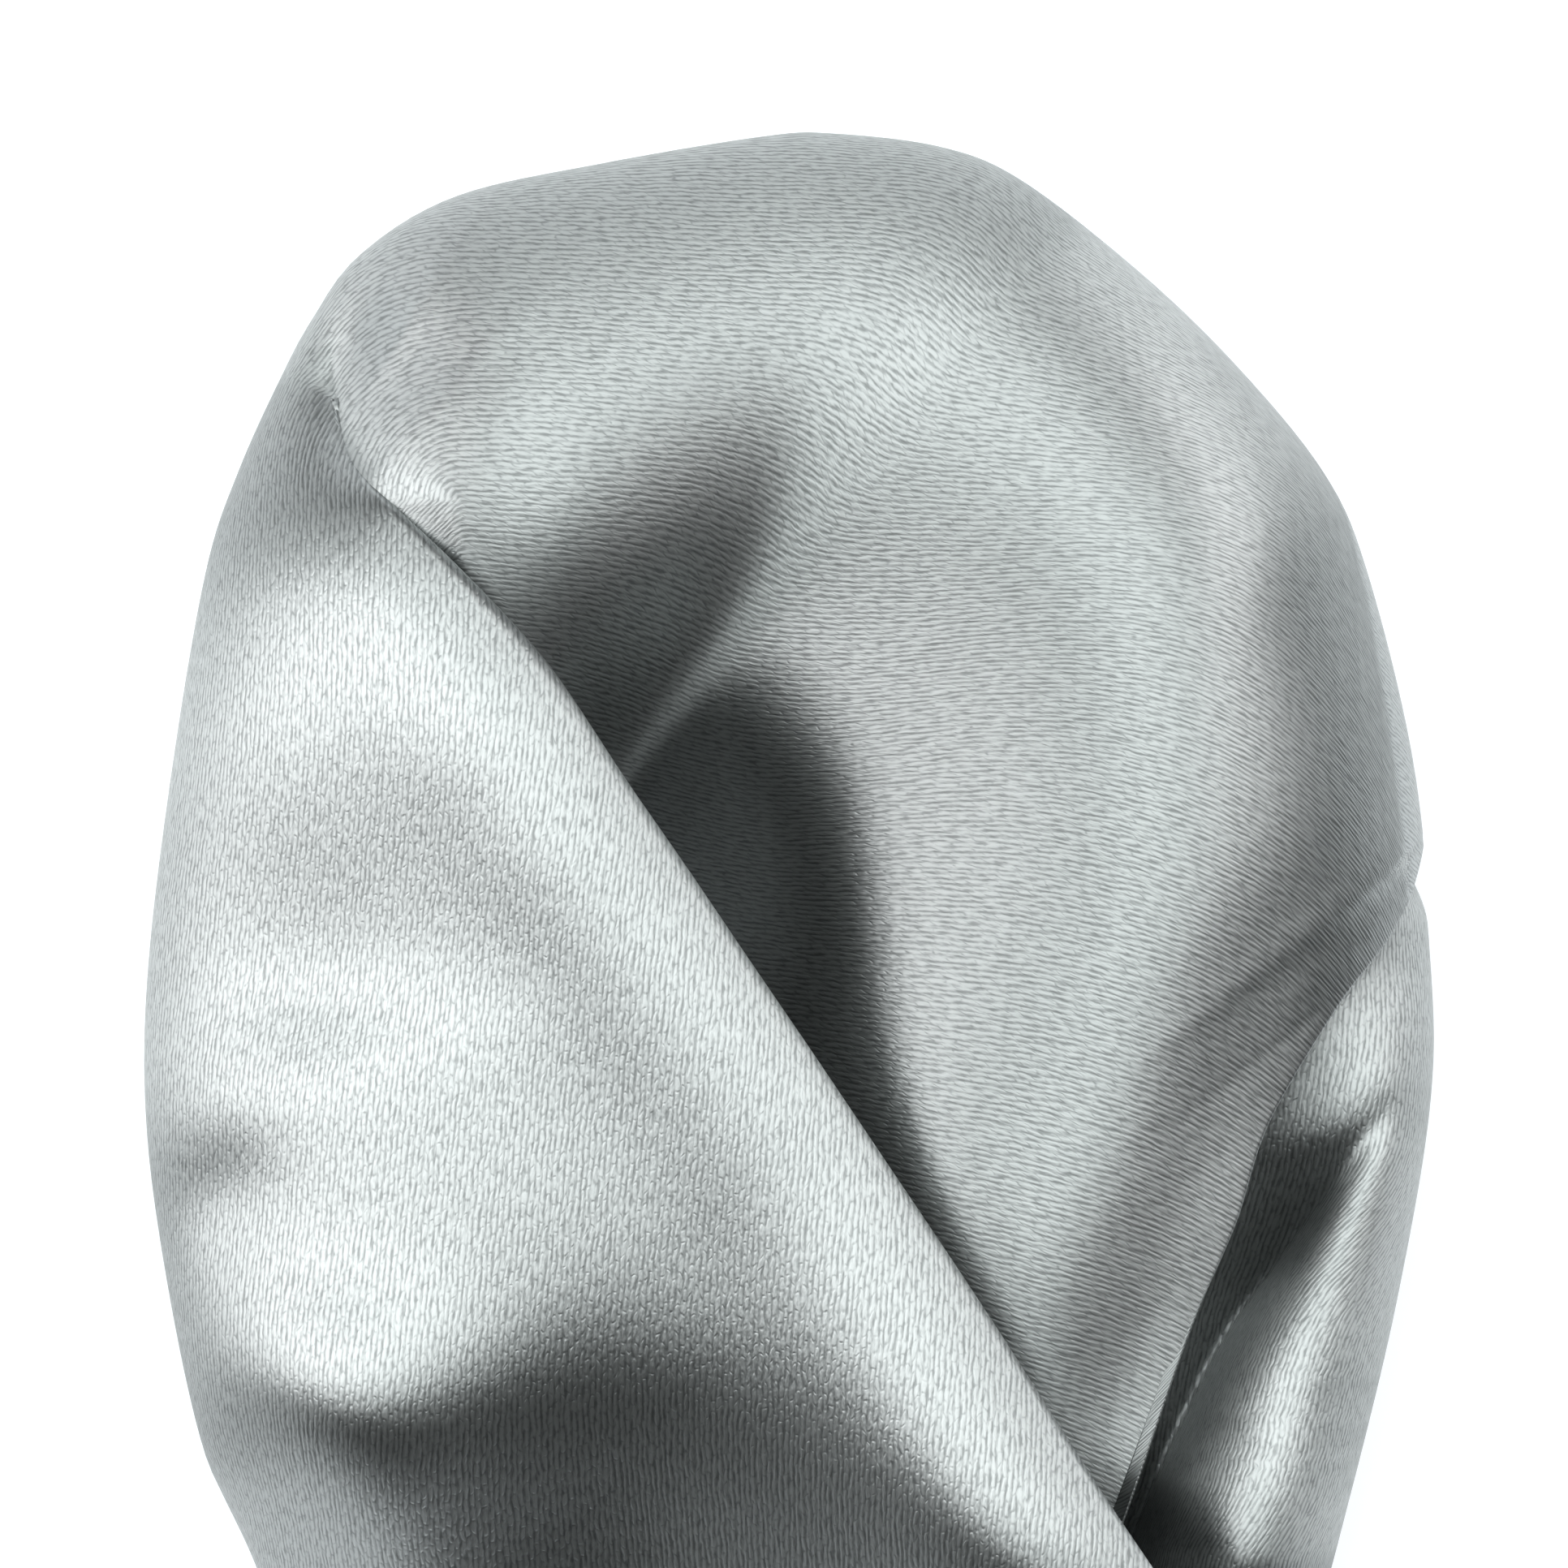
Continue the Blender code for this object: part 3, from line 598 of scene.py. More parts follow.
def resample(line: Field, count: int, start: float = 0.0, stop: float = 1.0) -> Field:
    """Cuts a line of points into equal steps.

    Args:
        line: The points.
        count: How many points to return.
        start: Where to start, as a share of the line's length.
        stop: Where to stop, as a share of the line's length.

    Returns:
        The points, the first and last at the start and stop.
    """
    along = np.concatenate([[0], np.cumsum(np.linalg.norm(np.diff(line, axis=0), axis=1))])
    steps = np.linspace(start, stop, count) * along[-1]
    return np.column_stack([np.interp(steps, along, line[:, k]) for k in range(line.shape[1])])


@dataclass(frozen=True)
class RibCounts:
    """How many points each rib of a sheet has: before its top side, on it, and past it."""

    inner: int = 9
    top: int = 84
    outer: int = 18


@dataclass
class RibbedSheet:
    """A sheet of cloth made of ribs, each with its points in space and its places on the flat cloth."""

    grid: Field
    weave: Field

    @staticmethod
    def grid_normals(grid: Field) -> Field:
        """Returns the unit normal at each point of a grid."""
        normal = np.cross(np.gradient(grid, axis=0), np.gradient(grid, axis=1))
        return normal / np.maximum(np.linalg.norm(normal, axis=2), TINY)[..., None]

    def faces(self) -> list[tuple[int, int, int, int]]:
        """Joins the points into quads that face outwards.

        Returns:
            The numbers of each quad's points.
        """
        ribs, rows = self.grid.shape[:2]
        near = np.arange(ribs - 1)[:, None] * rows + np.arange(rows - 1)[None]
        far = near + rows
        return np.stack([near, far, far + 1, near + 1], axis=-1).reshape(-1, 4).tolist()

    def make(self, name: str, thickness: float, material: bpy.types.Material) -> bpy.types.Object:
        """Makes the sheet an object with its weave map and its thickness.

        Args:
            name: The object's name.
            thickness: How thick the cloth is, in millimetres.
            material: What it is made of.

        Returns:
            The object, at the origin.
        """
        points = (self.grid.reshape(-1, 3) * MM).tolist()
        made = new_piece(name, points, self.faces(), material)
        set_weave(made, self.weave.reshape(-1, 2))
        wall = made.modifiers.new("cloth thickness", "SOLIDIFY")
        wall.thickness = thickness * MM
        wall.offset = -1
        return made


def new_piece(name: str, points: list, faces: list, material: bpy.types.Material) -> bpy.types.Object:
    """Makes a smooth mesh object.

    Args:
        name: The object's name.
        points: Its points, in metres.
        faces: Its faces.
        material: What it is made of.

    Returns:
        The object, linked to the scene at the origin.
    """
    mesh = bpy.data.meshes.new(name)
    mesh.from_pydata(points, [], faces)
    mesh.shade_smooth()
    mesh.materials.append(material)
    made = bpy.data.objects.new(name, mesh)
    bpy.context.scene.collection.objects.link(made)
    return made


def make_rings(name: str, rings: Sequence[Field], material: bpy.types.Material) -> bpy.types.Object:
    """Makes a closed form from rings of points, the first at the top and the last at the bottom.

    Args:
        name: The object's name.
        rings: The rings, clockwise, in millimetres.
        material: What it is made of.

    Returns:
        The object, with a weave map that lies flat in the plan.
    """
    count, last = len(rings[0]), len(rings) - 1
    points = np.vstack([*rings, rings[0].mean(axis=0), rings[-1].mean(axis=0)])
    near = np.arange(count)
    after = (near + 1) % count
    faces = []
    for ring in range(last):
        start, below = ring * count, (ring + 1) * count
        faces += np.column_stack([start + near, start + after, below + after, below + near]).tolist()
    top, bottom = (last + 1) * count, (last + 1) * count + 1
    faces += np.column_stack([np.full(count, top), after, near]).tolist()
    faces += np.column_stack([np.full(count, bottom), last * count + near, last * count + after]).tolist()
    made = new_piece(name, (points * MM).tolist(), faces, material)
    set_weave(made, points[:, :2])
    return made


def set_weave(piece: bpy.types.Object, places: Field) -> None:
    """Writes the weave map of a piece.

    Args:
        piece: The piece, which is a mesh.
        places: A place on the flat cloth for each of its points, in millimetres.
    """
    layer = piece.data.uv_layers.new(name=WEAVE_MAP)
    corners = np.empty(len(piece.data.loops), np.int32)
    piece.data.loops.foreach_get("vertex_index", corners)
    layer.data.foreach_set("uv", places[corners].astype(np.float32).ravel())


def hex_linear(code: str) -> tuple[float, float, float, float]:
    """Turns an sRGB hex colour to linear values.

    Args:
        code: The colour, such as #B1B4B4.

    Returns:
        Its red, green and blue, and an alpha of 1.
    """
    parts = [int(code[k:k + 2], 16) / 255 for k in (1, 3, 5)]
    linear = [c / 12.92 if c <= 0.04045 else ((c + 0.055) / 1.055) ** 2.4 for c in parts]
    return (*linear, 1.0)


def add_node(
    tree: bpy.types.NodeTree, kind: str, inputs: dict | None = None, **settings: object
) -> bpy.types.Node:
    """Adds a node with its settings and links.

    Args:
        tree: The tree that it goes into.
        kind: The node's type.
        inputs: A value, or the output to link, for each named or numbered input.
        settings: The node's own settings.

    Returns:
        The node.
    """
    node = tree.nodes.new(kind)
    for name, value in settings.items():
        setattr(node, name, value)
    for key, value in (inputs or {}).items():
        if isinstance(value, bpy.types.NodeSocket):
            tree.links.new(value, node.inputs[key])
        else:
            node.inputs[key].default_value = value
    return node


@dataclass(frozen=True)
class SatinFinish:
    """Silver polyester satin: smooth bright floats in fine ribs, with painted shade as a dark line between
    ribs.

    The floats lie side by side, so the gloss is drawn out across them, and the lines between them
    break up where a float goes under. Woven polyester isn't a metal, but it shines in its own colour
    and darkens sharply where it turns away, so metallic is high. The real threads are about 0.1 mm
    wide, which is too fine to show in the render, so the ribs are drawn 0.37 mm apart, as wide as
    those that the photo shows. All the lengths are in millimetres.
    """

    name: str
    thread: str = "#B1B4B4"
    # The darker colour of the lines between ribs is painted shade; the threads themselves are all one colour.
    painted_gap_shade: str = "#7F8282"
    rib: float = 0.37
    float_length: float = 1.0
    float_step: float = 0.375
    float_drift: float = 1.2
    drift_cell: tuple[float, float] = (2.4, 0.7)
    dip_from: float = 0.34
    dip_depth: float = 0.6
    fuzz_cell: tuple[float, float] = (0.9, 0.22)
    fuzz_share: float = 0.9
    float_share: float = 0.45
    shade_from: float = 0.25
    shade_to: float = 0.85
    relief: float = 0.037
    metallic: float = 0.95
    roughness: float = 0.45
    anisotropic: float = 0.8
    gloss_turn: float = 0.25
    waver: float = 0.19
    waver_cell: tuple[float, float] = (2.0, 0.9)
    noise_roughness: float = 0.55

    def material(self) -> bpy.types.Material:
        """Builds the material on the piece's weave map, whose U is along the ribs and V across them.

        Returns:
            The material.
        """
        made = bpy.data.materials.new(self.name)
        made.use_nodes = True
        tree = made.node_tree
        shader = tree.nodes["Principled BSDF"]

        def maths(operation: str, *values: object) -> bpy.types.NodeSocket:
            """Returns the result of a Math node."""
            return add_node(tree, "ShaderNodeMath", dict(enumerate(values)), operation=operation).outputs[0]

        def noise(cell: tuple[float, float], detail: float) -> bpy.types.NodeSocket:
            """Adds a noise that is drawn out along the ribs.

            Args:
                cell: The size of its cells along and across the ribs, in millimetres.
                detail: How many finer noises it holds.

            Returns:
                The noise, from 0 to 1.
            """
            scaled = add_node(tree, "ShaderNodeVectorMath", {0: place, 1: (1 / cell[0], 1 / cell[1], 1.0)},
                              operation="MULTIPLY")
            return add_node(tree, "ShaderNodeTexNoise",
                            {"Vector": scaled.outputs[0], "Scale": 1.0, "Detail": detail,
                             "Roughness": self.noise_roughness},
                            noise_dimensions="2D").outputs[0]

        def smooth(value: bpy.types.NodeSocket, low: float, high: float) -> bpy.types.NodeSocket:
            """Returns a value's smooth rise from 0 to 1 between two others."""
            return add_node(tree, "ShaderNodeMapRange", {"Value": value, "From Min": low, "From Max": high},
                            interpolation_type="SMOOTHSTEP").outputs[0]

        place = add_node(tree, "ShaderNodeUVMap", uv_map=WEAVE_MAP).outputs[0]
        split = add_node(tree, "ShaderNodeSeparateXYZ", {0: place})
        wander = maths("SUBTRACT", noise(self.waver_cell, 2.0), 0.5)
        across = maths("ADD", split.outputs[1], maths("MULTIPLY", wander, self.waver * 2))
        rib = maths("DIVIDE", across, self.rib)
        crest = maths("MULTIPLY_ADD", maths("COSINE", maths("MULTIPLY", rib, 2 * math.pi)), 0.5, 0.5)
        row = maths("FLOOR", maths("ADD", rib, 0.5))
        drift = maths("MULTIPLY", noise(self.drift_cell, 1.0), self.float_drift)
        step = maths("MULTIPLY_ADD", row, self.float_step, drift)
        float_at = maths("ADD", maths("DIVIDE", split.outputs[0], self.float_length), step)
        end = maths("ABSOLUTE", maths("SUBTRACT", maths("FRACT", float_at), 0.5))
        dip = smooth(end, self.dip_from, 0.5)
        fuzz = noise(self.fuzz_cell, 2.0)
        floats = maths("MULTIPLY", crest, maths("MULTIPLY_ADD", dip, -self.dip_depth, 1.0))
        height = maths("MULTIPLY_ADD", fuzz, self.fuzz_share, maths("MULTIPLY", floats, self.float_share))
        # The lines between ribs take the darker colour, which mixes painted shade into the base colour.
        shade = smooth(height, self.shade_from, self.shade_to)
        colour = add_node(tree, "ShaderNodeMix",
                          {0: shade, 6: hex_linear(self.painted_gap_shade), 7: hex_linear(self.thread)},
                          data_type="RGBA")
        bump = add_node(tree, "ShaderNodeBump", {"Height": height, "Strength": 1.0,
                                                 "Distance": self.relief * MM})
        tangent = add_node(tree, "ShaderNodeTangent", direction_type="UV_MAP", uv_map=WEAVE_MAP)
        tree.links.new(colour.outputs[2], shader.inputs["Base Color"])
        tree.links.new(bump.outputs[0], shader.inputs["Normal"])
        tree.links.new(tangent.outputs[0], shader.inputs["Tangent"])
        shader.inputs["Metallic"].default_value = self.metallic
        shader.inputs["Roughness"].default_value = self.roughness
        shader.inputs["Anisotropic"].default_value = self.anisotropic
        shader.inputs["Anisotropic Rotation"].default_value = self.gloss_turn
        made.diffuse_color = hex_linear(self.thread)
        return made


@dataclass(frozen=True)
class ThreadFinish:
    """Twisted polyester thread, or the threads of a rolled edge: fine slanting ridges, softly glossy, with
    painted shade in the hollows between them.
    """

    name: str
    colour: str
    # The colour of the hollows between the ridges, darker as painted shade.
    hollow: str
    pitch: float
    relief: float = 0.03
    metallic: float = 0.5
    roughness: float = 0.38
    unevenness: float = 0.8

    def material(self) -> bpy.types.Material:
        """Builds the material, whose ridges slant across the piece in its object's coordinates.

        Returns:
            The material.
        """
        made = bpy.data.materials.new(self.name)
        made.use_nodes = True
        tree = made.node_tree
        shader = tree.nodes["Principled BSDF"]
        place = add_node(tree, "ShaderNodeTexCoord").outputs["Object"]
        # At a scale of 1 this node draws a diagonal band for each 2 pi / (10 * root 3) metres
        scale = 2 * math.pi / (10 * math.sqrt(3) * self.pitch * MM)
        ridge = add_node(tree, "ShaderNodeTexWave",
                         {"Vector": place, "Scale": scale, "Distortion": self.unevenness, "Detail": 1.0},
                         wave_type="BANDS", bands_direction="DIAGONAL").outputs["Fac"]
        # The hollows between the ridges take the darker colour, which is painted shade.
        colour = add_node(tree, "ShaderNodeMix",
                          {0: ridge, 6: hex_linear(self.hollow), 7: hex_linear(self.colour)},
                          data_type="RGBA")
        bump = add_node(tree, "ShaderNodeBump",
                        {"Height": ridge, "Strength": 1.0, "Distance": self.relief * MM})
        tree.links.new(colour.outputs[2], shader.inputs["Base Color"])
        tree.links.new(bump.outputs[0], shader.inputs["Normal"])
        shader.inputs["Metallic"].default_value = self.metallic
        shader.inputs["Roughness"].default_value = self.roughness
        made.diffuse_color = hex_linear(self.colour)
        return made


@dataclass
class PuffAndWrap:
    """The front wrap and the back puff, which are one stretch of cloth that turns over at the ear."""

    form: PuffForm
    lay: WeaveLay
    counts: RibCounts = RibCounts()
    thickness: float = 0.25
    wrap_ribs: int = 170
    puff_ribs: int = 190
    rib_trials: int = 2000
    wrap_pairs: tuple[PairRow, ...] = (
        PairRow(0.0, 0.0), PairRow(42.0, 49.4), PairRow(58.0, 75.0), PairRow(66.0, 92.0),
        PairRow(75.0, 107.0), PairRow(85.0, 121.0), PairRow(95.0, 139.0), PairRow(102.0, 156.0),
        PairRow(107.5, 175.0),
    )
    puff_pairs: tuple[PairRow, ...] = (
        PairRow(0.0, 0.0), PairRow(2.5, 21.0), PairRow(6.5, 32.0), PairRow(14.0, 40.0),
        PairRow(24.0, 50.0), PairRow(36.0, 63.0), PairRow(48.0, 80.0), PairRow(58.0, 97.0),
        PairRow(66.0, 109.0), PairRow(76.0, 131.0), PairRow(88.0, 163.0),
    )
    top_points: int = 70
    apron_points: int = 20
    bead_points: int = 14
    tail_points: int = 6
    end_points: int = 24
    bead_return: float = 3.5
    beads_back: float = 4.0
    apron_lift: float = 0.6
    corner_fade: float = 12.0
    lip_bead: float = 0.12
    lip_return: float = 1.0
    hidden_end: float = 0.1
    hidden_share: float = 0.4

    def spread(self, count: int, pairs: Sequence[PairRow]) -> Field:
        """Spaces ribs evenly over the edge and the outline together.

        Args:
            count: How many ribs there are.
            pairs: Where ribs start on the edge and end on the outline.

        Returns:
            Where each rib starts on the edge.
        """
        edge = np.linspace(0, pairs[-1].edge, self.rib_trials)
        outer = np.interp(edge, [row.edge for row in pairs], [row.outer for row in pairs])
        share = edge + outer
        return np.interp(np.linspace(0, share[-1], count), share, edge)

    def apron(self, top: Field, outer: Field, inward: Field, end: float, depth: float) -> Field:
        """Takes a rib from the outline down and in under the puff.

        Args:
            top: The height that it starts from.
            outer: Its place on the outline.
            inward: The direction inwards from the outline.
            end: The height that it ends at.
            depth: How far it goes in.

        Returns:
            The points of the line.
        """
        turn = np.linspace(0, math.pi / 2, self.apron_points)
        place = outer[None] + inward[None] * (depth * (1 - np.cos(turn)))[:, None]
        return np.column_stack([place, top - (top - end) * np.sin(turn)])

    def bead(self, lip: Field, before: Field, radius: float, back: float) -> Field:
        """Takes a rib over a rolled edge and back under it.

        Args:
            lip: The last point of the top side.
            before: The point before it, which gives the direction.
            radius: The radius of the roll.
            back: How far the cloth goes back under it.

        Returns:
            The points of the line.
        """
        run = (lip - before) / max(float(np.linalg.norm(lip - before)), TINY)
        flat = np.array([run[0], run[1], 0.0])
        flat /= max(float(np.linalg.norm(flat)), TINY)
        slope = math.atan2(run[2], float(np.hypot(run[0], run[1])))
        turn = np.linspace(slope, max(slope, 0.0) - math.pi, self.bead_points)
        up = np.array([0.0, 0.0, 1.0])
        step = radius * abs(turn[1] - turn[0])
        heading = np.cos(turn)[:, None] * flat + np.sin(turn)[:, None] * up
        curl = lip + np.cumsum(heading, axis=0) * step
        tail = curl[-1] + heading[-1] * np.linspace(0, back, self.tail_points)[1:, None]
        return np.vstack([lip, curl, tail])

    def tops(self, inner: Field, outer: Field, height: Callable[[Field, Field], Field]) -> Field:
        """Lays the top sides of all the ribs, closer together at their ends.

        Args:
            inner: Where each rib starts in the plan.
            outer: Where each rib ends in the plan.
            height: What reads the height at points in the plan.

        Returns:
            The points, a row for each rib.
        """
        share = 0.5 - 0.5 * np.cos(np.linspace(0, np.pi, self.top_points))
        place = inner[:, None] + (outer - inner)[:, None] * share[None, :, None]
        return np.dstack([place, height(place[..., 0], place[..., 1])])

    @staticmethod
    def soften(top: Field, times: int = 8, margin: float = 5.0) -> Field:
        """Evens out the heights of the ribs' top sides, away from their edges.

        Args:
            top: The points of the top sides.
            times: How often each height is drawn to those beside it.
            margin: How far from an edge the full evening starts, in millimetres.

        Returns:
            The points, with their places in the plan unchanged.
        """
        made = top.copy()
        height = made[..., 2]
        from_edge = np.minimum(*(np.linalg.norm(made[..., :2] - made[:, end:end + 1, :2], axis=2)
                                 for end in (0, height.shape[1] - 1)))
        keep = smooth_step(from_edge / margin)
        for _ in range(times):
            along = height.copy()
            along[:, 1:-1] = 0.25 * height[:, :-2] + 0.5 * height[:, 1:-1] + 0.25 * height[:, 2:]
            mixed = along.copy()
            mixed[1:-1] = 0.25 * along[:-2] + 0.5 * along[1:-1] + 0.25 * along[2:]
            height = height + (mixed - height) * keep
        made[..., 2] = height
        return made

    def lay_out(self, parts: Sequence[Field], start: Field, direction: Field, before: float) -> Field:
        """Lays a rib out flat, by the length of cloth along it.

        Args:
            parts: The stretches of the rib.
            start: Where its top side starts in the plan.
            direction: The direction of its top side in the plan.
            before: How much cloth lies before the top side.

        Returns:
            The place of each point on the flat cloth.
        """
        line = np.vstack(parts)
        along = np.concatenate([[0], np.cumsum(np.linalg.norm(np.diff(line, axis=0), axis=1))]) - before
        return start[None] + direction[None] * along[:, None]

    def join(self, inner: Sequence[Field], top: Field, outer: Sequence[Field], grain: Grain) -> RibbedSheet:
        """Joins the three parts of each rib into a sheet with its weave.

        Args:
            inner: The part of each rib before its top side, from the top side back.
            top: The top sides.
            outer: The part of each rib past its top side.
            grain: The stretch of cloth, which gives the way the weave runs.

        Returns:
            The sheet.
        """
        grid, flat = [], []
        for before, middle, after in zip(inner, top, outer):
            first = resample(before[::-1], self.counts.inner)[:-1]
            crown = resample(middle, self.counts.top)
            last = resample(after, self.counts.outer)[1:]
            line = np.vstack([first, crown, last])
            run = middle[-1, :2] - middle[0, :2]
            run = run / max(float(np.linalg.norm(run)), TINY)
            length = float(np.linalg.norm(np.diff(first, axis=0), axis=1).sum()
                           + np.linalg.norm(crown[0] - first[-1]))
            flat.append(self.lay_out([line], middle[0, :2], run, length))
            grid.append(line)
        places = np.array(flat)
        along, across = self.lay.coordinates(grain, places[..., 0], places[..., 1])
        return RibbedSheet(np.array(grid), np.dstack([along, across]))

    def wrap(self) -> RibbedSheet:
        """Lays the ribs of the wrap, clockwise, from the neck up to the ear.

        Returns:
            The sheet, with its rolled edge and the neck's pleats.
        """
        form, outline, lip = self.form, self.form.outline_path(), self.form.wrap_path()
        edge_at = self.spread(self.wrap_ribs, self.wrap_pairs)
        corner = float(outline.place(*[np.array([v]) for v in form.wrap_edge[-1]])[0][0])
        reach = read_table(self.wrap_pairs, "outer", "edge", edge_at)
        outer_at = np.maximum(outline.length - reach, corner)
        radius = read_table(form.lip_rows, "bead", "along", edge_at)
        edge = lip.at(edge_at)
        outer, inward = outline.at(outer_at), outline.inward(outer_at)
        run = (outer - edge) / np.linalg.norm(outer - edge, axis=1)[:, None]
        top = self.soften(self.tops(edge + run * radius[:, None], outer, form.wrap_height))
        neck = form.neck_share(outer[:, 1])
        depth = form.apron_inset + (form.neck_apron_inset - form.apron_inset) * neck
        end = (form.tails_top + self.apron_lift) * neck
        beads = [self.bead(t[0], t[1], r, min(self.bead_return, self.beads_back * r))
                 for t, r in zip(top, radius)]
        aprons = [self.apron(t[-1, 2], o, n, e, d)
                  for t, o, n, e, d in zip(top, outer, inward, end, depth)]
        made = self.join(beads, top, aprons, Grain.WRAP)
        made.grid = made.grid[::-1]
        made.weave = made.weave[::-1]
        pleats = form.pleat_depth(made.grid[..., 0], made.grid[..., 1])
        made.grid = made.grid - made.grid_normals(made.grid) * pleats[..., None]
        return made

    def puff(self) -> RibbedSheet:
        """Lays the ribs of the puff, clockwise, from the ear to its edge over the side pleat.

        Returns:
            The sheet, which starts hidden under the wrap.
        """
        form, outline, lip = self.form, self.form.outline_path(), self.form.wrap_path()
        over_side = form.puff_path()
        edge_at = self.spread(self.puff_ribs, self.puff_pairs)
        tuck = read_table(form.lip_rows, "tuck", "along", edge_at)
        hidden = lip.at(edge_at) + lip.inward(edge_at) * tuck[:, None]
        corner = float(outline.place(*[np.array([v]) for v in form.puff_edge[0]])[0][0])
        outer_at = read_table(self.puff_pairs, "outer", "edge", edge_at)
        on_side = np.minimum(outer_at, corner)
        on_edge = over_side.at(np.clip(outer_at - corner, 0, over_side.length))
        outer = np.where((outer_at < corner)[:, None], outline.at(on_side), on_edge)
        inward = outline.inward(on_side)
        top = self.soften(self.tops(hidden, outer, form.puff_height))
        reach = smooth_step((corner - outer_at) / self.corner_fade)
        inner, ends = [], []
        for rib, place, into, share, depth in zip(top, outer, inward, reach, tuck):
            back = rib[0] - rib[3]
            back[2] = 0.0
            back /= max(float(np.linalg.norm(back)), TINY)
            length = self.hidden_end + self.hidden_share * depth
            inner.append(rib[0] + back * np.linspace(0, length, self.tail_points)[:, None])
            apron = self.apron(rib[-1, 2], place, into, 0.0, form.apron_inset)
            under = self.bead(rib[-1], rib[-2], self.lip_bead, self.lip_return)
            ends.append(resample(apron, self.end_points) * share
                        + resample(under, self.end_points) * (1 - share))
        return self.join(inner, top, ends, Grain.PUFF)

    def build(self, material: bpy.types.Material) -> bpy.types.Object:
        """Builds the wrap and the puff as one sheet.

        Args:
            material: The satin.

        Returns:
            The sheet, which stands for front_wrap and back_puff.
        """
        wrap, puff = self.wrap(), self.puff()
        grid = np.concatenate([wrap.grid, puff.grid[1:]])
        weave = np.concatenate([wrap.weave, puff.weave[1:]])
        return RibbedSheet(grid, weave).make("satin_puff", self.thickness, material)


@dataclass
class SidePleat:
    """The pleat and the roll that come out from under the puff on the right side."""

    form: PuffForm
    lay: WeaveLay
    thickness: float = 0.25
    ribs: int = 150
    top_points: int = 90
    apron_points: int = 20
    start: Point = Point(40.4, 25.0)
    end: Point = Point(31.3, -45.2)
    lean: float = 0.8
    lean_at: float = -0.8
    lean_width: float = 1.0
    lean_from: float = 0.05
    lean_rise: float = 0.3
    lean_fall: float = 0.15
    soften_times: int = 2
    soften_margin: float = 3.0

    def lean_over(self, top: Field) -> Field:
        """Leans the pleat over its groove, so that the groove's bottom lies hidden under it.

        Args:
            top: The points of the ribs' top sides.

        Returns:
            The points, those beside the groove moved across it.
        """
        path = Path(GROOVE)
        along, across = path.place(top[..., 0], top[..., 1])
        share = along / path.length
        fade = (smooth_step((share - self.lean_from) / self.lean_rise)
                * smooth_step((1 - share) / self.lean_fall))
        size = self.lean * fade * np.exp(-(((across - self.lean_at) / self.lean_width) ** 2))
        made = top.copy()
        made[..., :2] -= path.inward(along.ravel()).reshape(*along.shape, 2) * size[..., None]
        return made

    def build(self, material: bpy.types.Material) -> bpy.types.Object:
        """Builds the sheet.

        Args:
            material: The satin.

        Returns:
            The sheet, which stands for side_folds.
        """
        form, outline, hidden_path = self.form, self.form.outline_path(), Path(self.form.side_edge)
        share = np.linspace(0, 1, self.ribs)
        first, last = (float(outline.place(np.array([p.x]), np.array([p.y]))[0][0])
                       for p in (self.start, self.end))
        outline_at = first + share * (last - first)
        place, inward = outline.at(outline_at), outline.inward(outline_at)
        covered = form.side_covered(place[:, 1])
        place = place + inward * (form.side_inset * covered)[:, None]
        hidden = hidden_path.at(share * hidden_path.length)
        maker = PuffAndWrap(form, self.lay)
        top = maker.soften(maker.tops(hidden, place, form.side_height), self.soften_times,
                           self.soften_margin)
        top = self.lean_over(top)
        grid, flat = [], []
        for rib, outer, into, cover in zip(top, place, inward, covered):
            apron = maker.apron(rib[-1, 2], outer, into, form.side_lift * cover, form.apron_inset)
            line = np.vstack([resample(rib, self.top_points), resample(apron, self.apron_points)[1:]])
            run = (rib[-1, :2] - rib[0, :2]) / np.linalg.norm(rib[-1, :2] - rib[0, :2])
            flat.append(maker.lay_out([line], rib[0, :2], run, 0.0))
            grid.append(line)
        places = np.array(flat)
        along, across = self.lay.coordinates(Grain.SIDE, places[..., 0], places[..., 1])
        sheet = RibbedSheet(np.array(grid), np.dstack([along, across]))
        return sheet.make("satin_side_pleat", self.thickness, material)


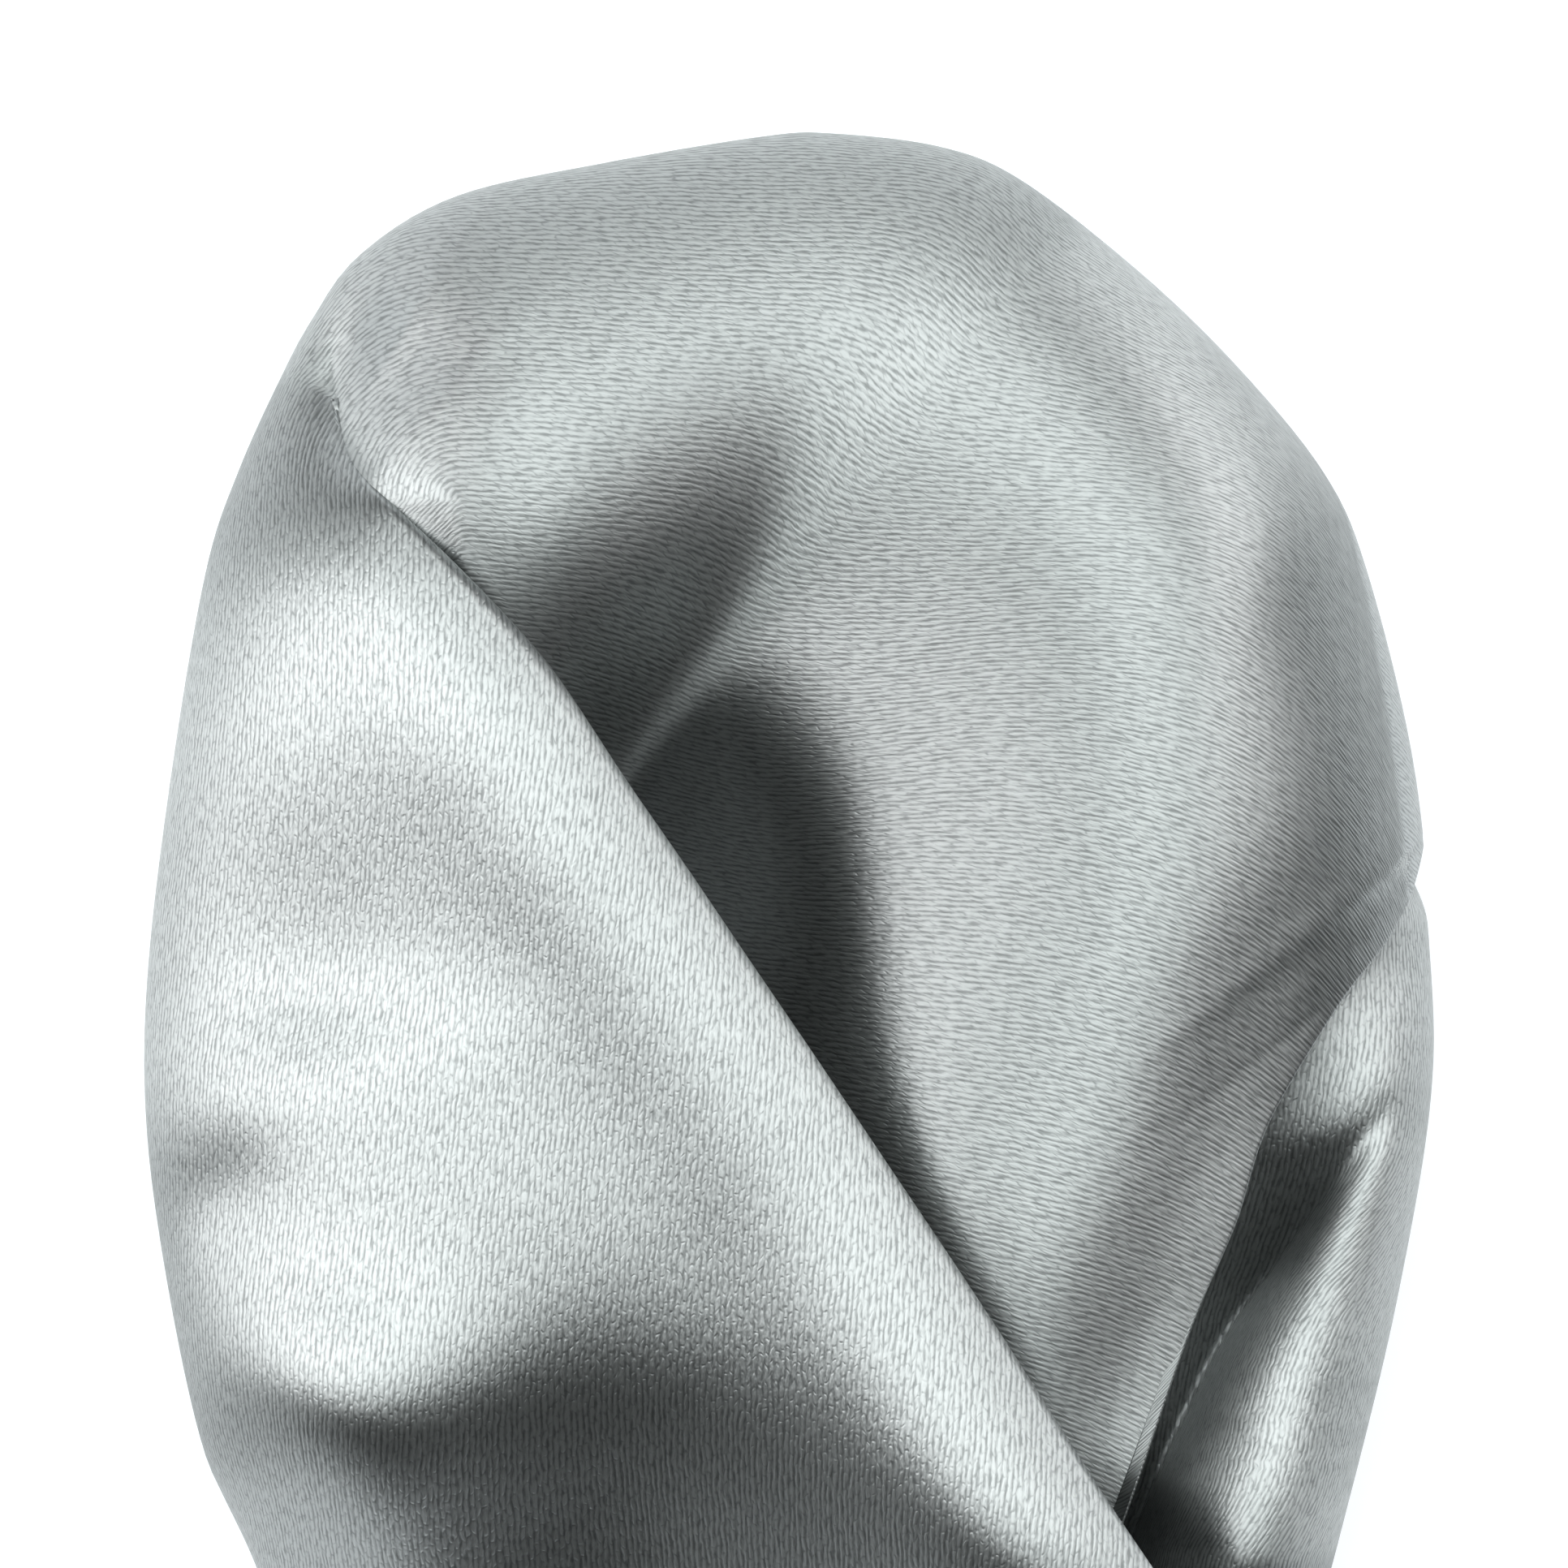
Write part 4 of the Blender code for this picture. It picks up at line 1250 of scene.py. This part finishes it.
@dataclass
class InnerLayers:
    """The square's hidden layers, which lie closely together under the sheets as one rounded form."""

    form: PuffForm
    around: int = 96
    rings: int = 13
    clearance: float = 0.8
    middle: Point = Point(-1.0, -2.0)
    side_top: float = 25.0
    side_bottom: float = -45.2
    past_margin: float = 1.0
    past_blend: float = 8.0
    past_rise: float = 16.0
    look_around: float = 2.4
    looks: int = 8
    shoulder: tuple[tuple[float, float, float], ...] = (
        (4.4, 6.4, 1.0), (5.2, 6.4, 0.55), (7.0, 6.4, 0.22), (9.2, 5.6, 0.06), (10.5, 5.0, 0.0),
    )

    def ceiling(self, x: Field, y: Field) -> Field:
        """Reads how high the layers may reach under the sheets.

        A sheet counts only where it lies, so past its hidden edge its height is raised out of the way.

        Args:
            x: X of the points to read.
            y: Y of the points, in the same shape.

        Returns:
            The height at each point.
        """
        form = self.form
        along, across = form.wrap_path().place(x, y)
        past_tuck = -across - read_table(form.lip_rows, "tuck", "along", along)
        _, into_side = Path(form.side_edge).place(x, y)
        past_side = np.maximum.reduce([-into_side, y - self.side_top, self.side_bottom - y])
        off_puff, off_side = (self.past_rise * smooth_step((past - self.past_margin) / self.past_blend)
                              for past in (past_tuck, past_side))
        over = [
            form.wrap_height(x, y) - form.pleat_depth(x, y),
            form.puff_height(x, y) + off_puff,
            form.side_height(x, y) + off_side,
        ]
        return np.minimum.reduce(over) - self.clearance

    def lowest_around(self, x: Field, y: Field) -> Field:
        """Reads the lowest ceiling within a few millimetres of each point.

        Args:
            x: X of the points to read.
            y: Y of the points, in the same shape.

        Returns:
            The height at each point.
        """
        lowest = self.ceiling(x, y)
        for turn in np.linspace(0, 2 * math.pi, self.looks, endpoint=False):
            dx, dy = self.look_around * math.cos(turn), self.look_around * math.sin(turn)
            lowest = np.minimum(lowest, self.ceiling(x + dx, y + dy))
        return lowest

    def build(self, material: bpy.types.Material) -> bpy.types.Object:
        """Builds the form.

        Args:
            material: The satin of the inner layers, made darker as painted shade.

        Returns:
            The closed form, which stands on the folded tails.
        """
        form, outline = self.form, self.form.outline_path()
        at = np.linspace(0, outline.length, self.around, endpoint=False)
        edge, inward = outline.at(at), outline.inward(at)
        neck = form.neck_share(edge[:, 1])

        def place(inset: float, neck_inset: float) -> Field:
            """Returns a ring in the plan, drawn in from the outline."""
            return edge + inward * (inset + (neck_inset - inset) * neck)[:, None]

        rim = place(*self.shoulder[0][:2])
        share = np.linspace(0, 1, self.rings)[1:]
        plan = np.array(self.middle) + (rim - np.array(self.middle))[None] * share[:, None, None]
        top = self.lowest_around(plan[..., 0], plan[..., 1])
        rings = [np.column_stack([p, z]) for p, z in zip(plan, top)]
        rise = top[-1] - form.tails_top
        for inset, neck_inset, part in self.shoulder[1:]:
            rings.append(np.column_stack([place(inset, neck_inset), form.tails_top + rise * part]))
        return make_rings("satin_inner_layers", rings, material)


@dataclass
class FoldedTails:
    """The tails of the square, gathered at the neck and folded up flat under the puff."""

    form: PuffForm
    around: int = 240
    layers: int = 5
    floor: float = 0.95
    inset: float = 9.8
    neck_inset: float = 2.4
    pleat_share: float = 0.7
    unevenness: float = 0.45
    neck_evens: float = 0.6
    wave_count: int = 3
    wave_turn: float = 1.7
    small_wave: float = 0.6
    small_wave_count: int = 7
    small_wave_turn: float = 2.9
    layer_reach: float = 0.35
    edge_angle: float = 80.0
    edge_rings: int = 7
    edge_round: float = 0.25

    def build(self, material: bpy.types.Material) -> bpy.types.Object:
        """Builds the stack of turned-back layers, each with its rounded edge.

        Args:
            material: The satin of the inner layers, made darker as painted shade.

        Returns:
            The stack.
        """
        form, outline = self.form, self.form.outline_path()
        at = np.linspace(0, outline.length, self.around, endpoint=False)
        edge, inward = outline.at(at), outline.inward(at)
        neck = form.neck_share(edge[:, 1])
        pleats = form.pleat_depth(edge[:, 0], edge[:, 1])
        rise = (form.tails_top - self.floor) / self.layers
        rings = []
        for layer in reversed(range(self.layers)):
            turn = 2 * math.pi * at / outline.length
            small = self.small_wave * np.sin(self.small_wave_count * turn + self.small_wave_turn * layer)
            wave = np.sin(self.wave_count * turn + self.wave_turn * layer) + small - self.layer_reach * layer
            inset = self.inset + (self.neck_inset - self.inset) * neck + self.pleat_share * pleats * neck
            inset = inset + self.unevenness * wave * (1 - self.neck_evens * neck)
            for angle in np.linspace(self.edge_angle, -self.edge_angle, self.edge_rings):
                bulge = math.cos(math.radians(angle))
                height = self.floor + rise * (layer + 0.5 + 0.5 * math.sin(math.radians(angle)))
                drawn_in = inset + 0.5 * rise * (1 - bulge) + self.edge_round * (1 - bulge) ** 4
                place = edge + inward * drawn_in[:, None]
                rings.append(np.column_stack([place, np.full(len(at), height)]))
        return make_rings("satin_folded_tails", rings, material)


class HemPart(Enum):
    """What a hem tree makes: the rolled edge itself, or the stitches that go round it."""

    ROLL = "satin_hem"
    STITCHES = "hem_stitches"


@dataclass
class TailFlap:
    """The corner of the square that lies flat under the stack, with its hand-rolled hem."""

    left_side: tuple[tuple[float, float], ...] = ((-14.0, -57.0), (-26.0, 2.0), (-2.0, 26.0))
    right_side: tuple[tuple[float, float], ...] = ((14.0, -57.0), (25.0, -1.0), (-2.0, 26.0))
    ribs: int = 90
    columns: int = 60
    last_rib: float = 0.99
    level: float = 0.45
    wave: float = 0.06
    wave_lengths: Point = Point(7.0, 9.0)
    wave_start: float = 0.4
    thickness: float = 0.25
    roll_radius: float = 0.33
    stitch_spacing: float = 3.0
    stitch_radius: float = 0.36
    thread_radius: float = 0.06
    stitch_slant: float = 0.5
    stitch_sweep: float = 300.0
    roll_sides: int = 14
    thread_sides: int = 7
    seed: int = 7

    def flap(self, material: bpy.types.Material) -> bpy.types.Object:
        """Builds the flat sheet, from the neck to the corner's tip.

        Args:
            material: The satin of the inner layers, made darker as painted shade.

        Returns:
            The sheet.
        """
        left, right = (resample(np.array(side), self.ribs, 0.0, self.last_rib)
                       for side in (self.left_side, self.right_side))
        share = np.linspace(0, 1, self.columns)[None, :, None]
        plan = left[:, None] + (right - left)[:, None] * share
        x, y = plan[..., 0], plan[..., 1]
        ripple = np.sin(x / self.wave_lengths.x + self.wave_start) * np.sin(y / self.wave_lengths.y)
        grid = np.dstack([plan, self.level + self.wave * ripple])
        turned = np.stack([(x + y) / math.sqrt(2), (x - y) / math.sqrt(2)], axis=-1)
        return RibbedSheet(grid, turned).make("satin_tail_flap", self.thickness, material)

    def tree(self, part: HemPart) -> bpy.types.NodeTree:
        """Builds the nodes that make the roll or the stitches along an edge.

        Args:
            part: Which of the two to make.

        Returns:
            The tree, with its sizes as named inputs.
        """
        tree = bpy.data.node_groups.new(f"{part.value} nodes", "GeometryNodeTree")
        tree.interface.new_socket("Geometry", in_out="INPUT", socket_type="NodeSocketGeometry")
        for name in ("Radius", "Spacing", "Thread Radius", "Slant"):
            tree.interface.new_socket(name, in_out="INPUT", socket_type="NodeSocketFloat")
        tree.interface.new_socket("Seed", in_out="INPUT", socket_type="NodeSocketInt")
        tree.interface.new_socket("Material", in_out="INPUT", socket_type="NodeSocketMaterial")
        tree.interface.new_socket("Geometry", in_out="OUTPUT", socket_type="NodeSocketGeometry")
        given = tree.nodes.new("NodeGroupInput").outputs
        edge = add_node(tree, "GeometryNodeMeshToCurve", {0: given["Geometry"]}).outputs[0]
        if part is HemPart.ROLL:
            ring = add_node(tree, "GeometryNodeCurvePrimitiveCircle",
                            {"Resolution": self.roll_sides, "Radius": given["Radius"]})
            steps = add_node(tree, "GeometryNodeResampleCurve", {"Curve": edge, "Length": given["Spacing"]},
                             mode="LENGTH").outputs[0]
            shape = add_node(tree, "GeometryNodeCurveToMesh",
                             {"Curve": steps, "Profile Curve": ring.outputs[0], "Fill Caps": True}).outputs[0]
        else:
            arc = add_node(tree, "GeometryNodeCurveArc",
                           {"Resolution": self.roll_sides, "Radius": given["Radius"],
                            "Sweep Angle": math.radians(self.stitch_sweep)}, mode="RADIUS")
            strand = add_node(tree, "GeometryNodeCurvePrimitiveCircle",
                              {"Resolution": self.thread_sides, "Radius": given["Thread Radius"]})
            stitch = add_node(tree, "GeometryNodeCurveToMesh",
                              {"Curve": arc.outputs[0], "Profile Curve": strand.outputs[0],
                               "Fill Caps": True}).outputs[0]
            points = add_node(tree, "GeometryNodeCurveToPoints", {"Curve": edge, "Length": given["Spacing"]},
                              mode="LENGTH")
            placed = add_node(tree, "GeometryNodeInstanceOnPoints",
                              {"Points": points.outputs[0], "Instance": stitch,
                               "Rotation": points.outputs["Rotation"]})
            chance = add_node(tree, "FunctionNodeRandomValue", {"Seed": given["Seed"]}, data_type="FLOAT")
            share = next(socket for socket in chance.outputs if socket.enabled)
            turn = add_node(tree, "ShaderNodeMath", {0: share, 1: given["Slant"]},
                            operation="MULTIPLY").outputs[0]
            angles = add_node(tree, "ShaderNodeCombineXYZ", {0: turn}).outputs[0]
            shape = add_node(tree, "GeometryNodeRotateInstances",
                             {"Instances": placed.outputs[0], "Rotation": angles}).outputs[0]
        real = add_node(tree, "GeometryNodeRealizeInstances", {0: shape}).outputs[0]
        dressed = add_node(tree, "GeometryNodeSetMaterial", {"Geometry": real, "Material": given["Material"]})
        tree.links.new(dressed.outputs[0], tree.nodes.new("NodeGroupOutput").inputs[0])
        return tree

    def along_hem(self, part: HemPart, material: bpy.types.Material) -> bpy.types.Object:
        """Makes the roll or the stitches along the two cut edges as a plain mesh.

        Args:
            part: Which of the two to make.
            material: What it is made of.

        Returns:
            The piece, at the origin.
        """
        hem_corners = (self.left_side[1], self.left_side[2], self.right_side[1])
        corners = [(x * MM, y * MM, self.level * MM) for x, y in hem_corners]
        guide_mesh = bpy.data.meshes.new("hem line")
        guide_mesh.from_pydata(corners, [(0, 1), (1, 2)], [])
        guide = bpy.data.objects.new("hem line", guide_mesh)
        bpy.context.scene.collection.objects.link(guide)
        tree = self.tree(part)
        values = {"Radius": (self.roll_radius if part is HemPart.ROLL else self.stitch_radius) * MM,
                  "Spacing": self.stitch_spacing * MM, "Thread Radius": self.thread_radius * MM,
                  "Slant": self.stitch_slant, "Seed": self.seed, "Material": material}
        modifier = guide.modifiers.new("hem", "NODES")
        modifier.node_group = tree
        for item in tree.interface.items_tree:
            if item.in_out == "INPUT" and item.name in values:
                modifier[item.identifier] = values[item.name]
        graph = bpy.context.evaluated_depsgraph_get()
        mesh = bpy.data.meshes.new_from_object(guide.evaluated_get(graph), preserve_all_data_layers=True,
                                               depsgraph=graph)
        bpy.data.objects.remove(guide)
        mesh.shade_smooth()
        mesh.name = part.value
        made = bpy.data.objects.new(part.value, mesh)
        bpy.context.scene.collection.objects.link(made)
        return made


@dataclass(frozen=True)
class TableFinish:
    """A pale acrylic table that is lit from below, matt and without a pattern."""

    name: str = "pale lit acrylic"
    colour: str = "#C6C8CA"
    glow: float = 0.95
    roughness: float = 0.9
    specular: float = 0.1

    def material(self) -> bpy.types.Material:
        """Builds the material.

        Returns:
            The material.
        """
        made = bpy.data.materials.new(self.name)
        made.use_nodes = True
        shader = made.node_tree.nodes["Principled BSDF"]
        shader.inputs["Base Color"].default_value = hex_linear(self.colour)
        shader.inputs["Roughness"].default_value = self.roughness
        shader.inputs["Specular IOR Level"].default_value = self.specular
        shader.inputs["Emission Color"].default_value = hex_linear(self.colour)
        shader.inputs["Emission Strength"].default_value = self.glow
        return made


class SoftBox(NamedTuple):
    """A soft studio light: where it is and its size in metres, its power and its colour."""

    name: str
    place: tuple[float, float, float]
    size: float
    power: float
    colour: str


@dataclass(frozen=True)
class Studio:
    """The table, the soft light and the camera, which looks straight down as in the photo.

    The field is the width that the frame shows at the height called level. Both are in metres.
    """

    boxes: tuple[SoftBox, ...] = (
        SoftBox("key from the left", (-1.0, 0.08, 0.6), 0.9, 6.0, "#FFFFFF"),
        SoftBox("fill from the right", (0.9, 0.35, 0.75), 1.0, 4.1, "#FFFFFF"),
        SoftBox("low light on the left rim", (-1.1, 0.15, 0.2), 0.6, 1.0, "#FFFFFF"),
        SoftBox("low light on the top right rim", (0.85, 0.75, 0.3), 0.6, 2.6, "#FFFFFF"),
    )
    sky_direction: tuple[float, float, float] = (-0.1, 0.3, 0.94)
    sky_bright: str = "#F1F6F5"
    sky_dark: str = "#0E0E0E"
    sky_strength: float = 3.05
    sky_from: float = 0.55
    sky_to: float = 1.0
    table_side: float = 3.0
    table_drop: float = 0.0001
    aim: Point = Point(-0.3, 19.4)
    camera_height: float = 0.613
    field: float = 0.1036
    level: float = 0.013
    sensor: float = 36.0
    clip: tuple[float, float] = (0.01, 10.0)

    def table(self, material: bpy.types.Material) -> bpy.types.Object:
        """Makes the table top, which isn't part of the object.

        Args:
            material: The table's own.

        Returns:
            The table top, as part of the stage.
        """
        half = self.table_side / 2
        corners = [(-half, -half, 0), (half, -half, 0), (half, half, 0), (-half, half, 0)]
        made = new_piece("table_top", corners, [(0, 1, 2, 3)], material)
        made.location.z = -self.table_drop
        return made

    def light(self) -> None:
        """Makes the soft boxes, and the soft light of a room that is brightest straight above."""
        for box in self.boxes:
            data = bpy.data.lights.new(box.name, "AREA")
            data.shape = "DISK"
            data.size = box.size
            data.energy = box.power
            data.color = hex_linear(box.colour)[:3]
            lamp = bpy.data.objects.new(box.name, data)
            lamp.location = box.place
            aim = -lamp.location
            lamp.rotation_euler = aim.to_track_quat("-Z", "Y").to_euler()
            bpy.context.scene.collection.objects.link(lamp)
        world = bpy.data.worlds.new("soft room")
        bpy.context.scene.world = world
        world.use_nodes = True
        tree = world.node_tree
        toward = add_node(tree, "ShaderNodeTexCoord").outputs["Generated"]
        size = math.sqrt(sum(v * v for v in self.sky_direction))
        axis = tuple(v / size for v in self.sky_direction)
        facing = add_node(tree, "ShaderNodeVectorMath", {0: toward, 1: axis},
                          operation="DOT_PRODUCT").outputs["Value"]
        share = add_node(tree, "ShaderNodeMapRange",
                         {"Value": facing, "From Min": self.sky_from, "From Max": self.sky_to},
                         interpolation_type="SMOOTHSTEP").outputs[0]
        colour = add_node(tree, "ShaderNodeMix",
                          {0: share, 6: hex_linear(self.sky_dark), 7: hex_linear(self.sky_bright)},
                          data_type="RGBA")
        background = tree.nodes["Background"]
        tree.links.new(colour.outputs[2], background.inputs["Color"])
        background.inputs["Strength"].default_value = self.sky_strength

    def camera(self) -> None:
        """Makes the camera, straight above the puff, with the photo's frame."""
        data = bpy.data.cameras.new("camera")
        data.sensor_width = self.sensor
        data.lens = self.sensor * (self.camera_height - self.level) / self.field
        data.clip_start, data.clip_end = self.clip
        made = bpy.data.objects.new("camera", data)
        made.location = (self.aim.x * MM, self.aim.y * MM, self.camera_height)
        bpy.context.scene.collection.objects.link(made)
        bpy.context.scene.camera = made
        bpy.context.scene.view_settings.view_transform = "Standard"


def main() -> None:
    """Builds the pieces, dresses them and sets them in the studio."""
    logging.basicConfig(level=logging.INFO, format="%(message)s")
    form, lay = PuffForm(), WeaveLay()
    satin = SatinFinish("silver polyester satin").material()
    # The inner layers, tails and flap are the same satin with a darker thread colour, which is painted shade
    # for the hidden parts under the puff.
    shade = SatinFinish("silver satin, inner layers", thread="#8C8F91").material()

    puff = PuffAndWrap(form, lay).build(satin)
    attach(puff, "root")
    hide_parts("front_wrap", "back_puff")
    log.info("satin_puff: %d points", len(puff.data.vertices))

    side = SidePleat(form, lay).build(satin)
    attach(side, "root")
    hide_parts("side_folds")
    log.info("satin_side_pleat: %d points", len(side.data.vertices))

    layers = InnerLayers(form).build(shade)
    tails = FoldedTails(form).build(shade)
    for piece in (layers, tails):
        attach(piece, "root")
        log.info("%s: %d points", piece.name, len(piece.data.vertices))
    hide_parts("tucked_layers")
    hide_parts("tucked_layers")

    corner = TailFlap()
    flap = corner.flap(shade)
    # The second colour of each finish is painted shade in the hollows between its ridges.
    rolled = ThreadFinish("silver satin, rolled hem", "#A9ACAE", "#8A8D8F", 0.37).material()
    thread = ThreadFinish("silver sewing thread", "#C4C7C8", "#8F9294", 0.2).material()
    roll = corner.along_hem(HemPart.ROLL, rolled)
    stitches = corner.along_hem(HemPart.STITCHES, thread)
    for piece in (flap, roll, stitches):
        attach(piece, "root")
        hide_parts("tucked_layers")
        log.info("%s: %d points", piece.name, len(piece.data.vertices))

    studio = Studio()
    studio.table(TableFinish().material())
    studio.light()
    studio.camera()


if __name__ == "__main__":
    main()
